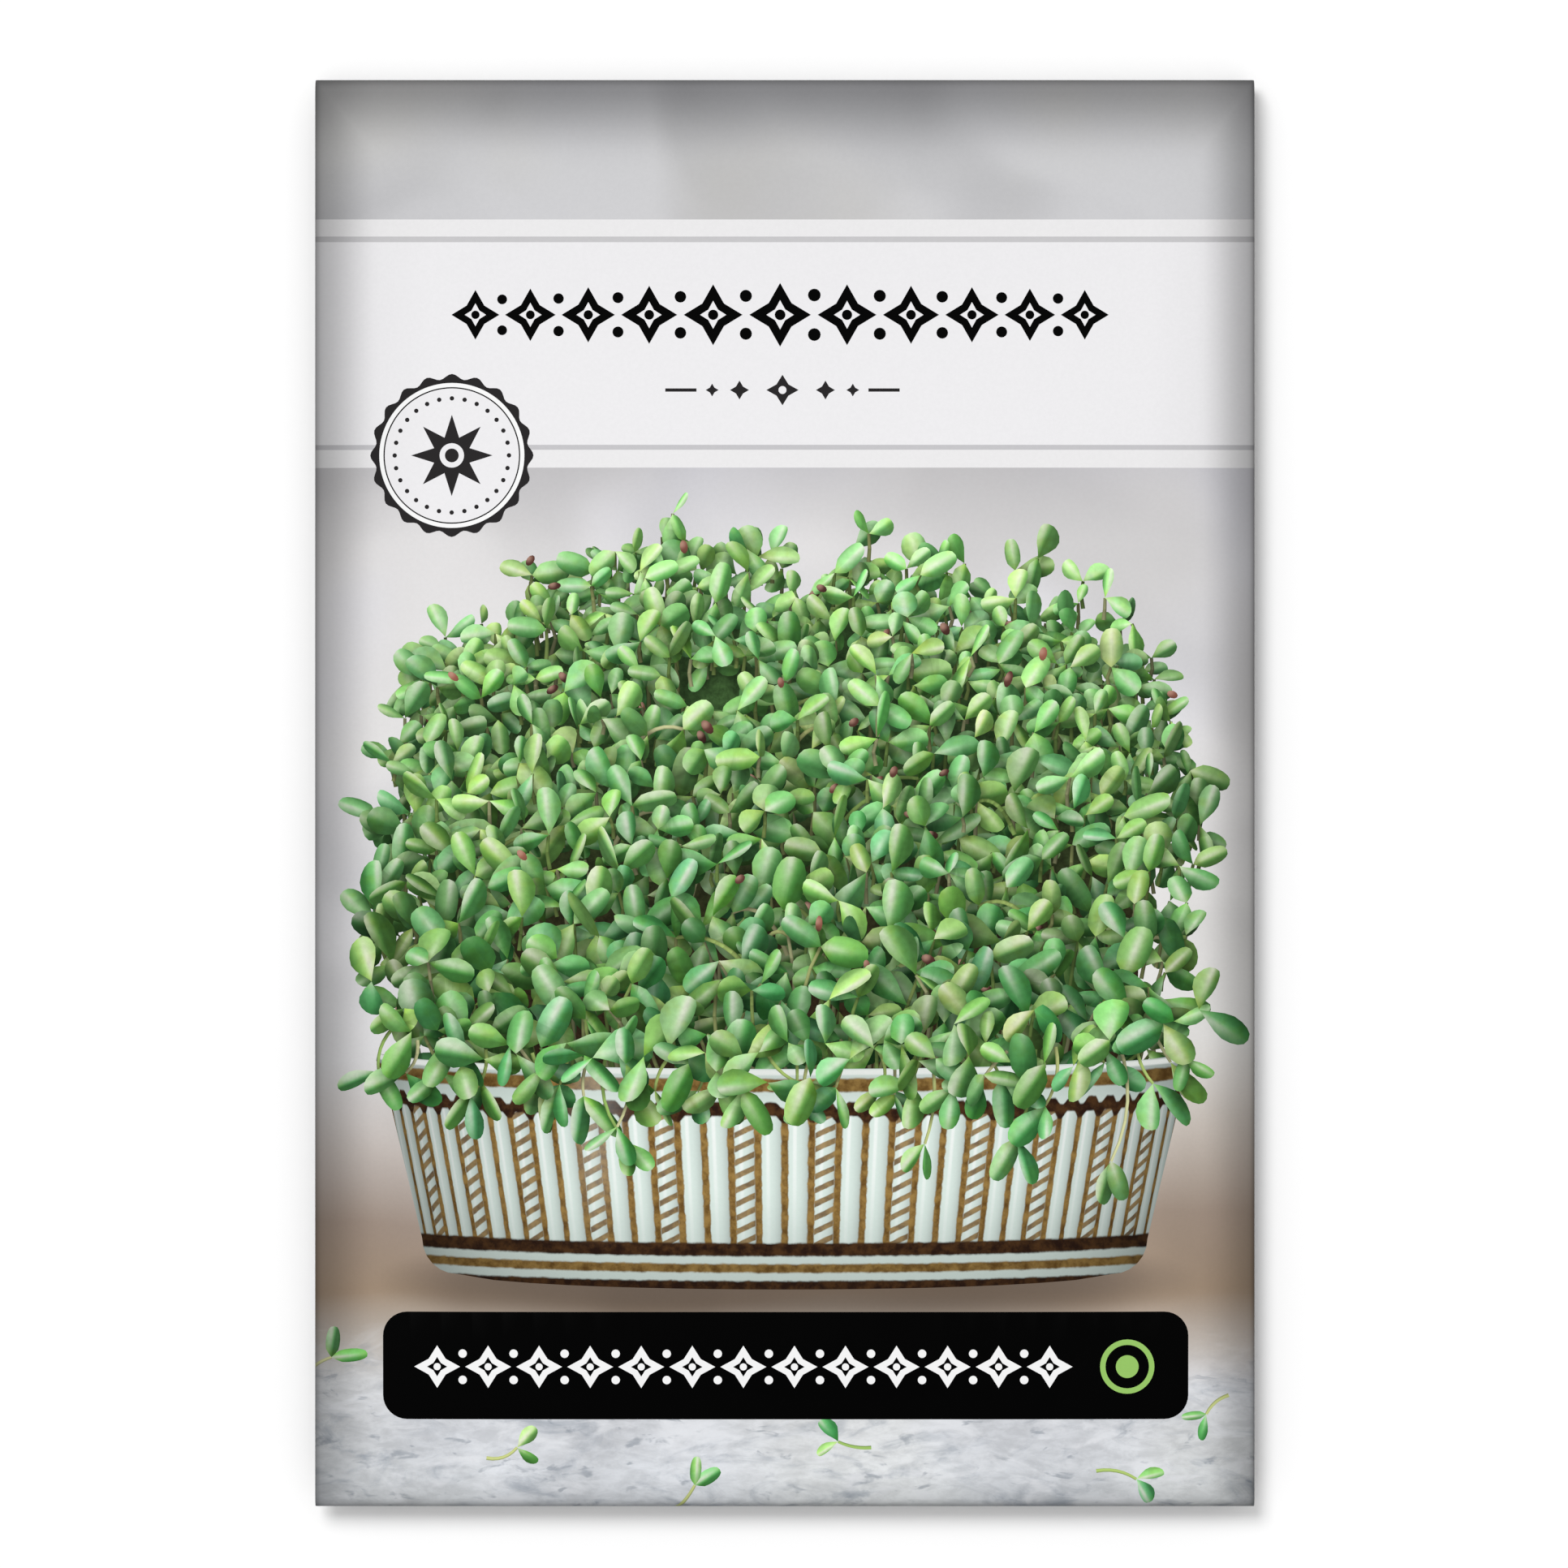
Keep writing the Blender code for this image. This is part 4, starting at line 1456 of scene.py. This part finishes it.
def topFlap(material):
    corner = packet["topFlapCorner"]
    straight = packet["topFlap"] - corner
    downs = spread(0.0, straight, 10)[1:]
    downs += [straight + corner * math.sin(angle) for angle in spread(0.0, quarter, 10)[1:]]
    lines = []
    for part in spread(-1.0, 1.0, 48):
        z = float(frontHeight(part * sideFlat, headFlat))
        line = foldRest(part * sideFlat, headFlat, z, 0, 1, headFold, 8)
        for down in downs:
            x, y = part * topFlapHalf(down), headFlat - down
            line.append((x, y, float(backHeight(x, y)) - packet["flapLift"]))
        lines.append(line)
    return sheetPiece("top_flap", lines, material, True)


# The fill: loose seeds in layers between the panels.

fill = {
    "halfWidth": 26.5,
    "bottom": -50.5,
    "top": 26.5,
    "corner": 12.0,
    "inset": 0.9,
    "pitch": 2.05,
    "scatter": 0.22,  # how far each seed is moved and turned
    "layers": 4,
    "layer": 0.989,
    "clear": 0.25,
    "seed": (2.0, 1.5, 1.2),
    "random": 17,
}


def seedShape():
    # a kidney-shaped seed of length 1, with a dent on one side
    bm = bmesh.new()
    bmesh.ops.create_uvsphere(bm, u_segments=8, v_segments=4, radius=0.5)
    for vert in bm.verts:
        vert.co.y -= math.exp(-((vert.co.x / 0.22) ** 2)) * max(0.0, vert.co.y) * 0.55
        vert.co.y += 0.10 * (vert.co.x * 2) ** 2
    return addObject("seedShape", smoothMesh("seedShape", bm))


def insideFill(x, y):
    middle, half = (fill["top"] + fill["bottom"]) / 2, (fill["top"] - fill["bottom"]) / 2
    dx = max(0.0, abs(x) - (fill["halfWidth"] - fill["corner"]))
    dy = max(0.0, abs(y - middle) - (half - fill["corner"]))
    return math.hypot(dx, dy) < fill["corner"] - fill["inset"]


def fillPlan():
    rng = random.Random(fill["random"])
    plan = []
    scatter = (-fill["scatter"], fill["scatter"])
    rowStep = fill["pitch"] * math.sqrt(3) / 2
    gap = packet["paper"] + fill["clear"] + fill["seed"][2] / 2
    for level in range(fill["layers"]):
        for row in range(int((fill["top"] - fill["bottom"]) / rowStep)):
            for column in range(int(2 * fill["halfWidth"] / fill["pitch"]) + 1):
                x = -fill["halfWidth"] + (column + 0.5 * ((row + level) % 2)) * fill["pitch"]
                y = fill["bottom"] + (row + 0.5 + 0.33 * (level % 3)) * rowStep
                x += rng.uniform(*scatter)
                y += rng.uniform(*scatter)
                z = float(backHeight(x, y)) + gap + level * fill["layer"]
                if z < float(frontHeight(x, y)) - gap and insideFill(x, y):
                    turn = (rng.uniform(*scatter), rng.uniform(*scatter), rng.uniform(0, math.tau))
                    plan.append(((x, y, z), turn, fill["seed"]))
    return plan


def buildFill(material):
    seedMotif = seedShape()
    plan = fillPlan()
    laid = layMotifs(seedMotif, plan, 0.90, 1.02, fill["random"], material)
    laid.transform(Matrix.Scale(mm, 4))
    laid.name = "seeds"
    dropObject(seedMotif)
    print("fill:", len(plan), "seeds,", len(laid.polygons), "faces")
    return addObject("seeds", laid)


def dress(piece, node):
    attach(piece, "root")
    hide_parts(node)


def buildPacket():
    shapes = printShapes()
    plain = makeMaterial("back_paper", backPaper)
    front = buildFront(shapes, makeMaterial("printed_paper", printedPaper))
    for motif in leafMotifs.values():
        dropObject(motif)
    for piece in (front, backPanel(plain), sideFlap("left_side_flap", -1, plain),
                  sideFlap("right_side_flap", 1, plain), topFlap(plain)):
        dress(piece, "paper_envelope")
    dress(buildFill(makeMaterial("seed_hull", seedHull)), "seed_fill")
    glue = makeMaterial("dried_glue", driedGlue)
    for node in ("left_seam_glue", "right_seam_glue", "flap_glue"):
        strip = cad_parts[node]
        strip.data.materials.clear()
        strip.data.materials.append(glue)
    print("packet built")


studio = {
    "photoPixel": 0.06862,  # millimetres on the packet for each pixel of a 1932 pixel frame
    "framePixels": 1932,
    "viewShift": (-0.07, 0.75),
    "lens": 200.0,
    "sensor": 36.0,
    "aimHeight": 2.3,  # the height above the floor at which the frame has its width
    "floorHalf": 0.9,
    "keyPower": 40.0,
    "keySize": 1.36,
    "keyPlace": (-0.80, 1.35, 2.10),
    "world": 0.66,
}


def buildFloor():
    half = studio["floorHalf"]
    corners = [(-half, -half, 0), (half, -half, 0), (half, half, 0), (-half, half, 0)]
    mesh = plainMesh("studio_floor", corners, [(0, 1, 2, 3)])
    mesh.materials.append(makeMaterial("studio_floor", studioFloor))
    floor = addObject("studio_floor", mesh)


def buildCamera():
    data = bpy.data.cameras.new("camera")
    data.lens = studio["lens"]
    data.sensor_width = studio["sensor"]
    data.clip_start = 0.01
    width = studio["photoPixel"] * studio["framePixels"] * mm
    camera = addObject("camera", data)
    x, y = studio["viewShift"]
    camera.location = (x * mm, y * mm, studio["aimHeight"] * mm + width * data.lens / data.sensor_width)
    bpy.context.scene.camera = camera


def buildLights():
    data = bpy.data.lights.new("key", "AREA")
    data.shape = "DISK"
    data.size = studio["keySize"]
    data.energy = studio["keyPower"]
    key = addObject("key", data)
    key.location = studio["keyPlace"]
    key.rotation_euler = Vector(studio["keyPlace"]).to_track_quat("Z", "Y").to_euler()
    world = bpy.data.worlds.new("studio")
    world.use_nodes = True
    sky = world.node_tree.nodes["Background"].inputs
    sky["Color"].default_value = (1.0, 1.0, 1.0, 1.0)
    sky["Strength"].default_value = studio["world"]
    bpy.context.scene.world = world
    bpy.context.scene.view_settings.view_transform = "Standard"


buildPacket()
buildFloor()
buildCamera()
buildLights()
print("studio ready")
